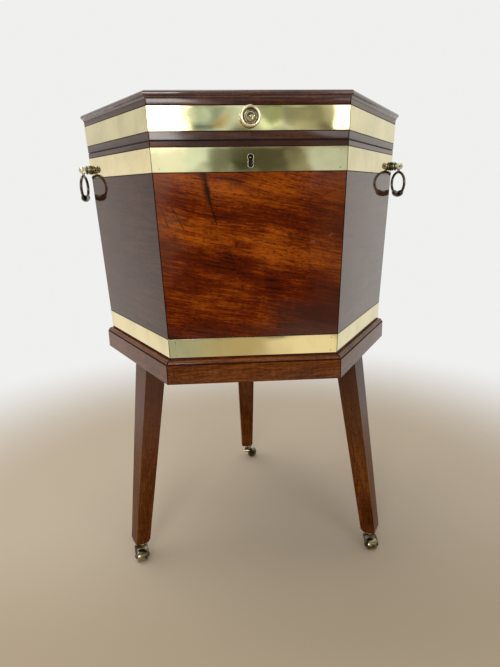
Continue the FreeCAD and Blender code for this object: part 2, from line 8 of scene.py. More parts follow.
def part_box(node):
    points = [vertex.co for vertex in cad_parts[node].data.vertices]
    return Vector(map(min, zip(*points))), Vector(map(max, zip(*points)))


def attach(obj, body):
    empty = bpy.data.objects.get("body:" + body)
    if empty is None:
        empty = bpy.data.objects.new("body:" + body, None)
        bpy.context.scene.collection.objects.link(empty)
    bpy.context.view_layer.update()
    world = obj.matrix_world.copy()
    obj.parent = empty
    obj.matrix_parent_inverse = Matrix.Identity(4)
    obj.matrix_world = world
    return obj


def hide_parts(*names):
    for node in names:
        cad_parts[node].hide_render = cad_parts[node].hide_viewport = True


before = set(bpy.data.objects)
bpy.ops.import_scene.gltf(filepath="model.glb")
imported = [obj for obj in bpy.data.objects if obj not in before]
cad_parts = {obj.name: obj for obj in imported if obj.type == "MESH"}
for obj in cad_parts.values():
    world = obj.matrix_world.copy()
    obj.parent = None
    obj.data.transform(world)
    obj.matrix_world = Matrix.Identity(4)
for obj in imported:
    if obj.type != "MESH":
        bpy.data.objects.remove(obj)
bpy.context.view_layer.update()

# ---- camera -------------------------------------------------------------------------
# A wide lens at the height of the casket's bands, looking a little down and from the left.
yaw, pitch, roll = (math.radians(degrees) for degrees in (-4.114, -15.528, 0.88))


def linked(name, data):
    """A new object of the scene that shows some data."""
    made = bpy.data.objects.new(name, data)
    bpy.context.scene.collection.objects.link(made)
    return made


camera = linked("camera", bpy.data.cameras.new("camera"))
bpy.context.scene.camera = camera
camera.data.sensor_fit = "VERTICAL"
camera.data.sensor_height = 36.0
camera.data.lens = 28.51
camera.data.shift_x = -0.0219
camera.data.shift_y = 0.0044
camera.matrix_world = (Matrix.Translation((-0.0348, -0.8815, 0.59375))
                       @ Matrix.Rotation(yaw, 4, "Z") @ Matrix.Rotation(pitch, 4, "X")
                       @ Matrix.Rotation(roll, 4, "Y") @ Matrix.Rotation(math.pi / 2, 4, "X"))

# ---- studio -------------------------------------------------------------------------
# A pale floor that runs out to the pale backdrop, a strong soft box on the left and a dim one
# on the right with a gap between them, and a broad one overhead. The world is painted with what
# brass and polish mirror: a far end with a doorway and a window, two walls and a lit floor.
bpy.context.scene.view_settings.view_transform = "Standard"
backdrop_colour = (0.87, 0.87, 0.86)


def joined(tree, kind, inputs=None, **settings):
    """Adds a node; each input takes a plain value or another node's output."""
    made = tree.nodes.new(kind)
    for name, value in settings.items():
        setattr(made, name, value)
    for name, value in (inputs or {}).items():
        if isinstance(value, bpy.types.NodeSocket):
            tree.links.new(value, made.inputs[name])
        else:
            made.inputs[name].default_value = value
    return made


def sums(tree, operation, a, b=0.0, c=0.0, clamp=False):
    """One step of arithmetic on numbers."""
    return joined(tree, "ShaderNodeMath", {0: a, 1: b, 2: c}, operation=operation,
                  use_clamp=clamp).outputs[0]


def product(tree, first, *others):
    """Numbers multiplied together."""
    for other in others:
        first = sums(tree, "MULTIPLY", first, other)
    return first


def scaled(tree, value, by, offset):
    """A number times another, and a third one added."""
    return sums(tree, "MULTIPLY_ADD", value, by, offset)


def vectors(tree, operation, a, b=(0, 0, 0), by=1.0):
    """One step of arithmetic on vectors; lengths and dot products come out as numbers."""
    made = joined(tree, "ShaderNodeVectorMath", {0: a, 1: b, 3: by}, operation=operation)
    return made.outputs[1 if operation in ("LENGTH", "DISTANCE", "DOT_PRODUCT") else 0]


def parts(tree, vector):
    """The three numbers of a vector."""
    return joined(tree, "ShaderNodeSeparateXYZ", {0: vector}).outputs


def point(tree, x=0.0, y=0.0, z=0.0):
    """A vector of three numbers."""
    return joined(tree, "ShaderNodeCombineXYZ", {0: x, 1: y, 2: z}).outputs[0]


def blended(tree, share, a, b, way="MIX"):
    """Two colours mixed; each is three numbers or another node's output."""
    a, b = (part if isinstance(part, bpy.types.NodeSocket) else (*part, 1) for part in (a, b))
    mix = joined(tree, "ShaderNodeMix", {0: share, 6: a, 7: b}, data_type="RGBA", blend_type=way)
    return mix.outputs[2]


def between(tree, value, low, high, start=0.0, end=1.0):
    """Smooth step from start to end as the value goes from low to high."""
    step = joined(tree, "ShaderNodeMapRange", {0: value, 1: low, 2: high, 3: start, 4: end},
                  interpolation_type="SMOOTHSTEP")
    return step.outputs[0]


def ramped(tree, value, *stops):
    """The colour that a value has on a ramp through (position, colour) stops."""
    made = joined(tree, "ShaderNodeValToRGB", {0: value})
    elements = made.color_ramp.elements
    for index in (0, -1):
        elements[index].position = stops[index][0]
        elements[index].color = (*stops[index][1], 1)
    for position, colour in stops[1:-1]:
        elements.new(position).color = (*colour, 1)
    return made.outputs[0]


def noise(tree, where, scale, detail=2.0, rough=0.5):
    """A noise's two outputs, its number and its colour."""
    return joined(tree, "ShaderNodeTexNoise", {"Vector": where, "Scale": scale, "Detail": detail,
                                               "Roughness": rough}).outputs


def emptied(owner):
    """The node tree of a world or a material, with nothing in it."""
    owner.use_nodes = True
    owner.node_tree.nodes.clear()
    return owner.node_tree


world = bpy.data.worlds.new("studio")
bpy.context.scene.world = world
tree = emptied(world)
ray = joined(tree, "ShaderNodeLightPath").outputs
looking = joined(tree, "ShaderNodeTexCoord").outputs["Generated"]
aside, away, up = parts(tree, looking)
to_front = product(tree, away, -1.0)
forward = sums(tree, "MAXIMUM", to_front, 0.05)
clouds = noise(tree, looking, 22.0, 3.0)[0]
across = sums(tree, "ADD", sums(tree, "DIVIDE", aside, forward), scaled(tree, clouds, 0.08, -0.04))
height = sums(tree, "ADD", sums(tree, "DIVIDE", up, forward), scaled(tree, clouds, 0.05, -0.025))
far_end = blended(tree, between(tree, across, -0.02, 0.22), (0.56, 0.62, 0.64), (0.42, 0.39, 0.33))
doorway = product(tree, between(tree, across, -0.05, 0.07), between(tree, across, 0.20, 0.13),
                  between(tree, height, 0.03, -0.01))
far_end = blended(tree, doorway, far_end, (0.20, 0.185, 0.145))
smear = ramped(tree, noise(tree, looking, 16.0, 4.0)[0], (0.41, (0.50, 0.50, 0.42)),
               (0.58, (1.55, 1.62, 1.55)))
far_end = blended(tree, 1.0, far_end, smear, "MULTIPLY")
# Dim and warm patches at the far end: (across, height), half sizes, and what they do to the tone.
patches = (((-0.008, 0.045), (0.052, 0.044), (0.74, 0.77, 0.76)),
           ((-0.026, 0.026), (0.036, 0.022), (0.24, 0.31, 0.36)),
           ((0.002, 0.030), (0.020, 0.018), (1.00, 0.66, 0.42)),
           ((0.036, -0.034), (0.030, 0.024), (0.50, 0.58, 0.46)),
           ((0.084, 0.042), (0.028, 0.026), (1.50, 1.60, 1.30)),
           ((0.160, 0.040), (0.060, 0.030), (0.80, 0.78, 0.70)))
for (middle_across, middle_height), (half_across, half_height), shade in patches:
    off = point(tree, scaled(tree, across, 1 / half_across, -middle_across / half_across),
                scaled(tree, height, 1 / half_height, -middle_height / half_height))
    off = vectors(tree, "LENGTH", off)
    far_end = blended(tree, between(tree, off, 1.0, 0.3), far_end, shade, "MULTIPLY")
window = blended(tree, between(tree, height, -0.012, 0.012), (1.05, 1.10, 1.10), (2.8, 2.6, 2.3))
far_end = blended(tree, between(tree, across, -0.056, -0.068), far_end, window)
far_end = blended(tree, between(tree, height, 0.15, 0.50), far_end, (1.0, 0.95, 0.90))
bright_right = product(tree, between(tree, across, 0.14, 0.17), between(tree, height, 0.02, -0.02))
far_end = blended(tree, bright_right, far_end, (0.66, 0.72, 0.74))
dark_floor = product(tree, between(tree, height, -0.05, -0.11), between(tree, across, -0.30, -0.20),
                     between(tree, across, 0.45, 0.33))
far_end = blended(tree, dark_floor, far_end, (0.07, 0.06, 0.06))
lit_floor = blended(tree, between(tree, across, -0.10, 0.01), (0.45, 0.47, 0.42),
                    (0.52, 0.43, 0.27))
lit_floor = blended(tree, between(tree, across, 0.03, 0.15), lit_floor, (0.95, 0.85, 0.68))
far_end = blended(tree, between(tree, height, -0.335, -0.372), far_end, lit_floor)
walls = blended(tree, between(tree, aside, -0.6, 0.6), (0.98, 0.91, 0.85), (0.86, 0.84, 0.79))
dimmer = product(tree, between(tree, up, 0.035, 0.055), between(tree, aside, 0.0, -0.3))
walls = blended(tree, dimmer, walls, (0.76, 0.74, 0.71))
mirrored = blended(tree, between(tree, to_front, 0.72, 0.90), walls, far_end)
seen = blended(tree, ray["Is Camera Ray"], mirrored, backdrop_colour)
shown = sums(tree, "ADD", ray["Is Camera Ray"], ray["Is Glossy Ray"], clamp=True)
room = joined(tree, "ShaderNodeBackground", {0: seen, 1: 1.0}).outputs[0]
fill = joined(tree, "ShaderNodeBackground", {0: (0.97, 0.98, 1.0, 1), 1: 0.50}).outputs[0]
whole = joined(tree, "ShaderNodeMixShader", {0: shown, 1: fill, 2: room}).outputs[0]
joined(tree, "ShaderNodeOutputWorld", {0: whole})


def soft_box(name, place, size, radiance, towards):
    """A rectangular lamp; the radiance is what a mirror would show of it."""
    lamp = bpy.data.lights.new(name, "AREA")
    lamp.shape = "RECTANGLE"
    lamp.size, lamp.size_y = size
    lamp.energy = radiance * size[0] * size[1] * math.pi
    lit = linked(name, lamp)
    lit.location = place
    lit.rotation_euler = (Vector(towards) - Vector(place)).to_track_quat("-Z", "Y").to_euler()


soft_box("box_left", (-0.575, -2.2, 1.26), (0.7, 1.2), 7.0, (-0.575, 0, 1.26))
soft_box("box_right", (1.200, -2.2, 1.295), (1.4, 1.2), 2.5, (1.200, 0, 1.295))
soft_box("box_above", (-0.7, 0.3, 2.3), (2.0, 2.0), 1.9, (0, 0, 0.4))

floor_mesh = bpy.data.meshes.new("floor")
floor_mesh.from_pydata([(-6, -6, 0), (6, -6, 0), (6, 6, 0), (-6, 6, 0)], [], [(0, 1, 2, 3)])
boards = bpy.data.materials.new("floor")
tree = emptied(boards)
spot = joined(tree, "ShaderNodeTexCoord").outputs["Object"]
reach = vectors(tree, "LENGTH", spot)
# The floor's tone is painted light: paler under and behind the casket, where it lightens the
# casket's shadow, and darker towards the front.
tone = blended(tree, between(tree, parts(tree, spot)[1], -0.34, 0.0), (0.46, 0.37, 0.255),
               (0.56, 0.465, 0.345))
near = joined(tree, "ShaderNodeBsdfDiffuse", {"Color": tone}).outputs[0]
far = joined(tree, "ShaderNodeEmission", {0: (*backdrop_colour, 1), 1: 1.0}).outputs[0]
open_end = joined(tree, "ShaderNodeBsdfTransparent").outputs[0]
ray = joined(tree, "ShaderNodeLightPath").outputs
faded = product(tree, between(tree, reach, 0.50, 1.15), ray["Is Camera Ray"])
laid = joined(tree, "ShaderNodeMixShader", {0: faded, 1: near, 2: far}).outputs[0]
gone = product(tree, between(tree, reach, 0.45, 0.95), ray["Is Glossy Ray"])
laid = joined(tree, "ShaderNodeMixShader", {0: gone, 1: laid, 2: open_end}).outputs[0]
joined(tree, "ShaderNodeOutputMaterial", {0: laid})
floor_mesh.materials.append(boards)
linked("floor", floor_mesh)

# ---- stand: rails -------------------------------------------------------------------
# Six lengths of mahogany, mitred at the corners and glued, each with a quirked ovolo run
# along its top edge and a rebate behind it that the case stands in. The rule is one rail
# repeated round the hexagon. Old French polish, rubbed thin along the arrises.
sides = {"front": 0, "front_right": 60, "back_right": 120,
         "back": 180, "back_left": 240, "front_left": 300}
rail_low, rail_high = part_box("stand_rail_front")
rail_face = -rail_low.y
rail_thick = 0.0226
# How far the case's faces lean in, as a share of the way down from its top.
taper = 0.0418
case_top = 0.6507
case_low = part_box("case_side_front")[0]
rebate_z = case_low.z
rebate_face = -case_low.y - (case_top - rebate_z) * taper + 0.0012
ovolo = 0.0044
quirk = 0.0012
rail_arris = 0.0007
mitre_gap = 0.00008
half_angle = math.radians(30)


def own_place(tree):
    """Each point's place in its piece, the same at every pose."""
    return joined(tree, "ShaderNodeTexCoord").outputs["Object"]


def mapped(tree, where, scale, turn=(0, 0, 0)):
    """A place turned and stretched for a pattern."""
    return joined(tree, "ShaderNodeMapping", {0: where, 2: turn, 3: scale}).outputs[0]


def bumped(tree, height, distance, strength=1.0, over=None):
    """A surface raised by a height, over another bump where there is one."""
    inputs = {"Strength": strength, "Distance": distance, "Height": height}
    if over is not None:
        inputs["Normal"] = over
    return joined(tree, "ShaderNodeBump", inputs).outputs[0]


def surfaced(tree, inputs):
    """Ends a material with one surface."""
    surface = joined(tree, "ShaderNodeBsdfPrincipled", inputs).outputs[0]
    joined(tree, "ShaderNodeOutputMaterial", {0: surface})


def near_mitre(tree, place, width, depth):
    """The depth at the six mitre planes of the casket and its stand, none past a width."""
    x, y, _ = parts(tree, place)
    share = product(tree, sums(tree, "ARCTAN2", y, x), 3 / math.pi)
    share = sums(tree, "PINGPONG", share, 0.5)
    out = vectors(tree, "LENGTH", vectors(tree, "MULTIPLY", place, (1, 1, 0)))
    return between(tree, product(tree, share, math.pi / 3, out), width, 0.4 * width, 0.0, depth)


def near_heights(tree, place, heights, width, depth):
    """The depth at each of a few heights, none past a width above and below."""
    up = parts(tree, place)[2]
    found = 0.0
    for height in heights:
        gap = sums(tree, "ABSOLUTE", sums(tree, "SUBTRACT", up, height))
        found = sums(tree, "MAXIMUM", found, between(tree, gap, width, 0.4 * width, 0.0, depth))
    return found


def mahogany(name, dark, middle, light, streak=1.0, patch=1.0, gloss=1.27, polish=0.06,
             bands=None, marks_and_painted_light=None, dirt_and_shade_at=(), mitre=0.85, fine=1.3, long=6.0, thin=150.0,
             ripples=0.4):
    """Polished mahogany that reads the piece's own "grain" attribute: X runs along the
    fibres. The three colours are its dark streaks, its body and its light figure. Streak,
    patch, fine and ripples say how strong each kind of figure is; long and thin how far the
    streaks are drawn out. Bands and marks_and_painted_light add one board's own figure and
    marks, and the light and shade painted on it. Dark dull lines lie in the mitres, where old
    polish and dirt fill the joints, and at the given heights (where brass meets the wood, at
    the lid's joint, under the rail's ovolo), where they are partly old polish and dirt and
    partly painted shade in the crease."""
    made = bpy.data.materials.new(name)
    tree = emptied(made)
    grain = joined(tree, "ShaderNodeAttribute", attribute_name="grain").outputs["Vector"]
    place = own_place(tree)

    def fibres(where, stretch, detail=2.0, rough=0.5):
        return noise(tree, mapped(tree, where, stretch), 1.0, detail, rough)

    drift = vectors(tree, "SUBTRACT", fibres(grain, (5.0, 9.0, 9.0))[1], (0.5, 0.5, 0.5))
    wavy = vectors(tree, "ADD", grain, vectors(tree, "MULTIPLY", drift, (0.0, 0.022, 0.022)))
    streaks = fibres(wavy, (long, thin, thin), 4.0, 0.7)[0]
    lines = fibres(wavy, (26, 520, 520), 3.0, 0.65)[0]
    blotches = fibres(wavy, (14, 26, 26), 4.0, 0.6)[0]
    ripple = noise(tree, mapped(tree, wavy, (230, 45, 45), (0, 0.45, 0)), 1.0)[0]
    flecks = fibres(wavy, (170, 1300, 1300), 1.0)[0]
    tone = 0.5
    for figure, depth in ((streaks, 1.7 * streak), (blotches, 1.3 * patch), (lines, fine),
                          (ripple, ripples)):
        tone = sums(tree, "ADD", tone, scaled(tree, figure, depth, -0.5 * depth))
    if bands:
        tone = bands(tree, place, tone)
    colour = ramped(tree, tone, (0.05, dark), (0.47, middle), (0.98, light))
    pore = between(tree, flecks, 0.53, 0.66, 0.0, 0.65)
    colour = blended(tree, pore, colour, [0.6 * part for part in dark])
    if marks_and_painted_light:
        colour = marks_and_painted_light(tree, place, colour)
    # Dark dull lines: old polish and dirt in the mitres, partly dirt and partly painted shade at
    # the given heights.
    dirt_and_shade = sums(tree, "MAXIMUM", near_mitre(tree, place, 0.0012, mitre),
                near_heights(tree, place, dirt_and_shade_at, 0.0013, 0.85))
    colour = blended(tree, dirt_and_shade, colour, (0.006, 0.003, 0.0015))
    rippled = bumped(tree, fibres(grain, (8, 14, 14), 1.0)[0], 0.00018)
    surfaced(tree, {
        "Base Color": colour, "Roughness": 0.5, "Specular IOR Level": 0.0,
        "Normal": bumped(tree, lines, 0.00004, 0.4, over=rippled),
        "Coat Weight": sums(tree, "SUBTRACT", 1.0, dirt_and_shade), "Coat Roughness": polish,
        "Coat IOR": gloss, "Coat Normal": rippled})
    return made


def plain_polish(name, colour, rough=0.3, coat=0.6):
    """One worn or dark tone: for the eased arrises, for seams full of old polish, and for the
    painted shade in the lid's joint, the keyhole and what is seen through it.
    """
    made = bpy.data.materials.new(name)
    tree = emptied(made)
    worn = between(tree, noise(tree, own_place(tree), 60.0, 3.0)[0], 0.35, 0.65)
    surfaced(tree, {"Base Color": blended(tree, worn, [0.55 * part for part in colour], colour),
                    "Roughness": rough, "Coat Weight": coat, "Coat Roughness": 0.12})
    return made


# Its one dark dull line, under the ovolo's quirk, is partly old polish and partly painted shade in
# the crease.
stand_mahogany = mahogany("stand_mahogany", (0.044, 0.009, 0.0018), (0.126, 0.032, 0.0055),
                          (0.250, 0.080, 0.017), streak=0.75, patch=0.8, polish=0.08, long=14.0,
                          dirt_and_shade_at=(rail_high.z - ovolo - 0.0006,))
worn_arris = plain_polish("worn_arris", (0.26, 0.115, 0.048), coat=0.4)


def kept(name, mesh, body, nodes=None):
    """A finished mesh as a piece that rides on its body and stands for its own node, or
    for the nodes that are named."""
    piece = linked(name, mesh)
    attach(piece, body)
    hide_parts(*(nodes or [name]))


def drawn(name, mesh, change):
    """A draft of the mesh is put through a modifier, and what comes out is a plain mesh."""
    draft = linked(name + "_draft", mesh)
    change(draft)
    bpy.context.view_layer.update()
    graph = bpy.context.evaluated_depsgraph_get()
    final = bpy.data.meshes.new_from_object(draft.evaluated_get(graph), depsgraph=graph)
    final.name = name
    draft.modifiers.clear()
    bpy.data.objects.remove(draft)
    bpy.data.meshes.remove(mesh)
    return final


def settled(shell, name, *finishes):
    """A mesh from bmesh work: smooth over its eased edges, flat on its flat faces."""
    mesh = bpy.data.meshes.new(name)
    shell.to_mesh(mesh)
    shell.free()
    for finish in finishes:
        mesh.materials.append(finish)
    mesh.shade_smooth()
    mesh.set_sharp_from_angle(angle=math.radians(40))

    def flattened(draft):
        flats = draft.modifiers.new("flats", "WEIGHTED_NORMAL")
        flats.keep_sharp = True
        flats.weight = 100

    return drawn(name, mesh, flattened)


def ease(shell, width, sharp=30.0, longer=0.003, material=-1, steps=2, chosen=None):
    """Eases the arrises that are sharper than an angle and longer than a length."""
    edges = [edge for edge in shell.edges
             if len(edge.link_faces) == 2 and edge.calc_length() > longer
             and edge.calc_face_angle(0.0) > math.radians(sharp)
             and (chosen is None or chosen(edge))]
    bmesh.ops.bevel(shell, geom=edges, offset=width, segments=steps, profile=0.5,
                    affect="EDGES", clamp_overlap=True, material=material)


def grained(mesh, turn=0.0, tip=(0.0, 0.0, 0.0), seed=(0.0, 0.0, 0.0)):
    """Stores each point's place in its own board as the "grain" attribute."""
    frame_turn = Matrix.Rotation(-math.radians(turn), 3, "Z")
    for axis, degrees in zip("XYZ", tip):
        frame_turn = Matrix.Rotation(math.radians(degrees), 3, axis) @ frame_turn
    stored = mesh.attributes.new("grain", "FLOAT_VECTOR", "POINT")
    for place, vertex in zip(stored.data, mesh.vertices):
        place.vector = frame_turn @ vertex.co + Vector(seed)


def rail_section():
    """Points (apothem, height) round the section of a rail, with eased arrises."""
    inner = rail_face - rail_thick
    step = rail_face - quirk
    shoulder = rail_high.z - ovolo
    points = [(inner, rail_low.z), (rail_face - rail_arris, rail_low.z),
              (rail_face - 0.3 * rail_arris, rail_low.z + 0.3 * rail_arris),
              (rail_face, rail_low.z + rail_arris),
              (rail_face, shoulder - 0.0005 - rail_arris),
              (rail_face - 0.3 * rail_arris, shoulder - 0.0005 - 0.25 * rail_arris),
              (step + 0.0002, shoulder)]
    for index in range(9):
        angle = math.radians(90 * index / 8)
        points.append((step - ovolo + ovolo * math.cos(angle), shoulder + ovolo * math.sin(angle)))
    return points + [(rebate_face, rail_high.z), (rebate_face, rebate_z), (inner, rebate_z)]


def mitred_length(points):
    """One length of a section along the front side, cut to the mitre at both ends."""
    shell = bmesh.new()
    left, right = ([shell.verts.new((hand * (apothem * math.tan(half_angle) - mitre_gap),
                                     -apothem, z)) for apothem, z in points]
                   for hand in (-1, 1))
    for index in range(len(points)):
        after = (index + 1) % len(points)
        shell.faces.new((left[index], right[index], right[after], left[after]))
    shell.faces.new(left)
    shell.faces.new(right[::-1])
    bmesh.ops.recalc_face_normals(shell, faces=shell.faces)
    return shell


def opened_tree(name, kind="GeometryNodeTree", result="Geometry", **inputs):
    """A new tree with its inputs, listed by kind, and what those inputs are given."""
    made = bpy.data.node_groups.new(name, kind)
    for socket, names in inputs.items():
        for label in names:
            made.interface.new_socket(label, in_out="INPUT", socket_type="NodeSocket" + socket)
    made.interface.new_socket("Made", in_out="OUTPUT", socket_type="NodeSocket" + result)
    return made, joined(made, "NodeGroupInput").outputs


def closed_tree(made, given, shape):
    """Ends a tree of geometry nodes: its instances made real, in the finish it is given."""
    real = joined(made, "GeometryNodeRealizeInstances", {0: shape}).outputs[0]
    finished = joined(made, "GeometryNodeSetMaterial", {"Geometry": real,
                                                        "Material": given["Finish"]})
    joined(made, "NodeGroupOutput", {0: finished.outputs[0]})
    return made


def stored(tree, shape, name, kind, domain, value):
    """Stores an attribute on a shape."""
    return joined(tree, "GeometryNodeStoreNamedAttribute",
                  {"Geometry": shape, "Name": name, "Value": value},
                  data_type=kind, domain=domain).outputs[0]


def recalled(tree, name, kind="FLOAT_VECTOR"):
    """Reads an attribute back."""
    return joined(tree, "GeometryNodeInputNamedAttribute", {"Name": name},
                  data_type=kind).outputs[0]


def six_round_tree():
    """Geometry nodes: one side's piece set round the hexagon, each with its own board."""
    made, given = opened_tree("six_round", Geometry=["Side"], Int=["Sides"], Material=["Finish"])
    places = joined(made, "GeometryNodeMeshLine", {"Count": given["Sides"], "Offset": (0, 0, 0)})
    which = joined(made, "GeometryNodeInputIndex").outputs[0]
    share = sums(made, "DIVIDE", math.tau, given["Sides"])
    set_out = joined(made, "GeometryNodeInstanceOnPoints", {
        "Points": places.outputs[0], "Instance": given["Side"],
        "Rotation": point(made, z=product(made, which, share))})
    numbered = stored(made, set_out.outputs[0], "board", "FLOAT", "INSTANCE", which)
    real = joined(made, "GeometryNodeRealizeInstances", {0: numbered}).outputs[0]
    apart = vectors(made, "SCALE", (1.7, 0.31, 0.23), by=recalled(made, "board", "FLOAT"))
    moved = vectors(made, "ADD", recalled(made, "grain"), apart)
    return closed_tree(made, given, stored(made, real, "grain", "FLOAT_VECTOR", "POINT", moved))


def grown(name, mesh, tree, values):
    """Runs a tree on a mesh with its named inputs set, and gives the result as plain mesh."""

    def made_by_tree(draft):
        modifier = draft.modifiers.new("made", "NODES")
        modifier.node_group = tree
        for item in tree.interface.items_tree:
            if item.in_out == "INPUT" and item.name in values:
                modifier[item.identifier] = values[item.name]

    return drawn(name, mesh, made_by_tree)


one_rail = mitred_length(rail_section())
ease(one_rail, 0.0006, sharp=50, longer=0.002,
     chosen=lambda edge: abs(edge.verts[0].co.x - edge.verts[1].co.x) < 0.003)
one_rail = settled(one_rail, "one_rail", stand_mahogany)
grained(one_rail, tip=(0, 4, 0), seed=(3.0, 0.0, 0.4))
rails = grown("stand_rails", one_rail, six_round_tree(), {"Sides": 6, "Finish": stand_mahogany})
kept("stand_rails", rails, "stand", ["stand_rail_" + side for side in sides])

# ---- stand: legs, screws and glue blocks --------------------------------------------
# Three square tapering legs of straight-grained mahogany. Each has a tongue behind its
# rail, held by two round-headed screws, and its foot is bevelled in to the castor.
leg_arris = 0.0009
foot_arris = 0.0026
foot_low, foot_high = 0.0295, 0.0385
leg_screw_z = 0.353
leg_screw_across = 0.010
legs = ("front_left", "front_right", "back")


def rejoined(node):
    """A CAD node's surface in a bmesh, doubles merged and flat faces made whole."""
    shell = bmesh.new()
    shell.from_mesh(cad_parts[node].data)
    bmesh.ops.remove_doubles(shell, verts=shell.verts, dist=2e-6)
    bmesh.ops.dissolve_limit(shell, angle_limit=math.radians(0.4), verts=shell.verts,
                             edges=shell.edges)
    return shell


def leg_shade(tree, place, tone):
    """The legs are paler at the top and darker towards the floor."""
    return sums(tree, "ADD", tone, between(tree, parts(tree, place)[2], 0.03, 0.25, 0.0, 0.26))


def leg_painted_light(tree, place, colour):
    """Painted shade and reflection: greyer towards the top, in the stand's shadow and where the
    polish mirrors the room, and darker on the leg that stands away from the window.
    """
    x, _, z = parts(tree, place)
    shade = blended(tree, between(tree, x, 0.02, 0.08), (0.100, 0.048, 0.034),
                    (0.030, 0.017, 0.015))
    return blended(tree, between(tree, z, 0.10, 0.31, 0.0, 0.62), colour, shade)


leg_mahogany = mahogany("leg_mahogany", (0.028, 0.0055, 0.0007), (0.094, 0.0210, 0.0018),
                        (0.190, 0.0600, 0.0090), streak=0.6, patch=0.6, gloss=1.19, polish=0.10,
                        bands=leg_shade, marks_and_painted_light=leg_painted_light, mitre=0.0, long=10.0)
for number, leg in enumerate(legs):
    node = "leg_" + leg
    shell = rejoined(node)
    ease(shell, foot_arris, sharp=20, longer=0.005, steps=4,
         chosen=lambda edge: foot_low < max(end.co.z for end in edge.verts) < foot_high)
    ease(shell, leg_arris, sharp=40, longer=0.012, material=1, steps=3)
    low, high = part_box(node)
    for vertex in shell.verts:
        vertex.co = [min(max(part, least), most)
                     for part, least, most in zip(vertex.co, low, high)]
    mesh = settled(shell, node, leg_mahogany, worn_arris)
    grained(mesh, turn=sides[leg], tip=(8.2, 90, 0), seed=(0.9 * number, 0.2 * number, 6.0))
    kept(node, mesh, "stand")

steel = bpy.data.materials.new("oiled_steel")
tree = emptied(steel)
rust = noise(tree, own_place(tree), 420.0, 4.0)[0]
tone = blended(tree, between(tree, rust, 0.40, 0.62), (0.19, 0.18, 0.17), (0.10, 0.07, 0.05))
surfaced(tree, {"Base Color": tone, "Metallic": 1.0, "Roughness": scaled(tree, rust, 0.35, 0.25)})


def moved(tree, shape, **how):
    """A shape put somewhere else, or turned."""
    return joined(tree, "GeometryNodeTransform", {"Geometry": shape, **how}).outputs[0]


def merged(tree, *shapes):
    """Several shapes as one."""
    whole = joined(tree, "GeometryNodeJoinGeometry")
    for shape in shapes:
        tree.links.new(shape, whole.inputs[0])
    return whole.outputs[0]


def screws_tree():
    """Geometry nodes: a slotted screw on each point, driven along the point's own facing."""
    made, given = opened_tree("slotted_screws", Geometry=["Spots"], Material=["Finish"], Float=[
        "Face radius", "Head radius", "Head depth", "Shank radius", "Length", "Slot"])
    head = joined(made, "GeometryNodeMeshCone", {
        "Vertices": 32, "Radius Top": given["Head radius"], "Radius Bottom": given["Face radius"],
        "Depth": given["Head depth"]}).outputs[0]
    blade = joined(made, "GeometryNodeMeshCube", {
        "Size": point(made, 0.02, given["Slot"], given["Slot"])}).outputs[0]
    slotted = joined(made, "GeometryNodeMeshBoolean", {"Mesh 1": head, "Mesh 2": blade},
                     operation="DIFFERENCE").outputs[0]
    shank = joined(made, "GeometryNodeMeshCylinder", {
        "Vertices": 20, "Radius": given["Shank radius"],
        "Depth": sums(made, "SUBTRACT", given["Length"], given["Head depth"])}).outputs[0]
    middle = product(made, sums(made, "ADD", given["Length"], given["Head depth"]), 0.5)
    tip = joined(made, "GeometryNodeMeshCone", {
        "Vertices": 20, "Radius Top": 0.0, "Radius Bottom": given["Shank radius"],
        "Depth": given["Shank radius"]}).outputs[0]
    screw = merged(made, slotted, moved(made, shank, Translation=point(made, z=middle)),
                   moved(made, tip, Translation=point(made, z=given["Length"])))
    driven = joined(made, "GeometryNodeInstanceOnPoints", {
        "Points": given["Spots"], "Instance": screw, "Rotation": recalled(made, "facing")})
    return closed_tree(made, given, driven.outputs[0])


screws_by_nodes = screws_tree()


def driven_screws(name, spots, **sizes):
    """Screws on a list of (place, direction, turn of the slot)."""
    mesh = bpy.data.meshes.new(name + "_spots")
    mesh.from_pydata([place for place, *_ in spots], [], [])
    facing = mesh.attributes.new("facing", "FLOAT_VECTOR", "POINT")
    for aim, (_, direction, slot_turn) in zip(facing.data, spots):
        turn = Vector(direction).to_track_quat("Z", "X").to_matrix()
        aim.vector = (turn @ Matrix.Rotation(slot_turn, 3, "Z")).to_euler()
    values = {size.replace("_", " ").capitalize(): value for size, value in sizes.items()}
    return grown(name, mesh, screws_by_nodes, {"Finish": steel, **values})


def together(name, finish, *meshes):
    """Several meshes of one body in one."""
    shell = bmesh.new()
    for mesh in meshes:
        shell.from_mesh(mesh)
    return settled(shell, name, finish)


def smooth_node(name, body, slot, finish, width=0.0, **easing):
    """A CAD node shown as it is, with its round faces smooth and its edges eased."""
    shell = rejoined(name)
    if width:
        ease(shell, width, **easing)
    kept(name, settled(shell, name, finish), body)


leg_screw_y = 0.0023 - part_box("leg_back")[0].y
spots = []
for number, leg in enumerate(legs):
    turn = Matrix.Rotation(math.radians(sides[leg]), 3, "Z")
    for x in (-leg_screw_across, leg_screw_across):
        spots.append((turn @ Vector((x, leg_screw_y, leg_screw_z)), turn @ Vector((0, -1, 0)),
                      0.7 * number + 60 * x))
mesh = driven_screws("leg_screws", spots, face_radius=0.0027, head_radius=0.0036,
                     head_depth=0.0023, shank_radius=0.0019, length=0.033, slot=0.0011)
kept("leg_screws", together("leg_screws", steel, mesh), "stand")

raw_wood = bpy.data.materials.new("raw_wood")
tree = emptied(raw_wood)
rings = noise(tree, mapped(tree, own_place(tree), (9, 110, 110)), 1.0, 5.0)[0]
tone = blended(tree, between(tree, rings, 0.35, 0.65), (0.20, 0.115, 0.055), (0.40, 0.27, 0.15))
surfaced(tree, {"Base Color": tone, "Roughness": 0.8,
                "Normal": bumped(tree, rings, 0.0002, 0.6)})
smooth_node("glue_blocks", "stand", "carcass_wood", raw_wood, 0.0006)

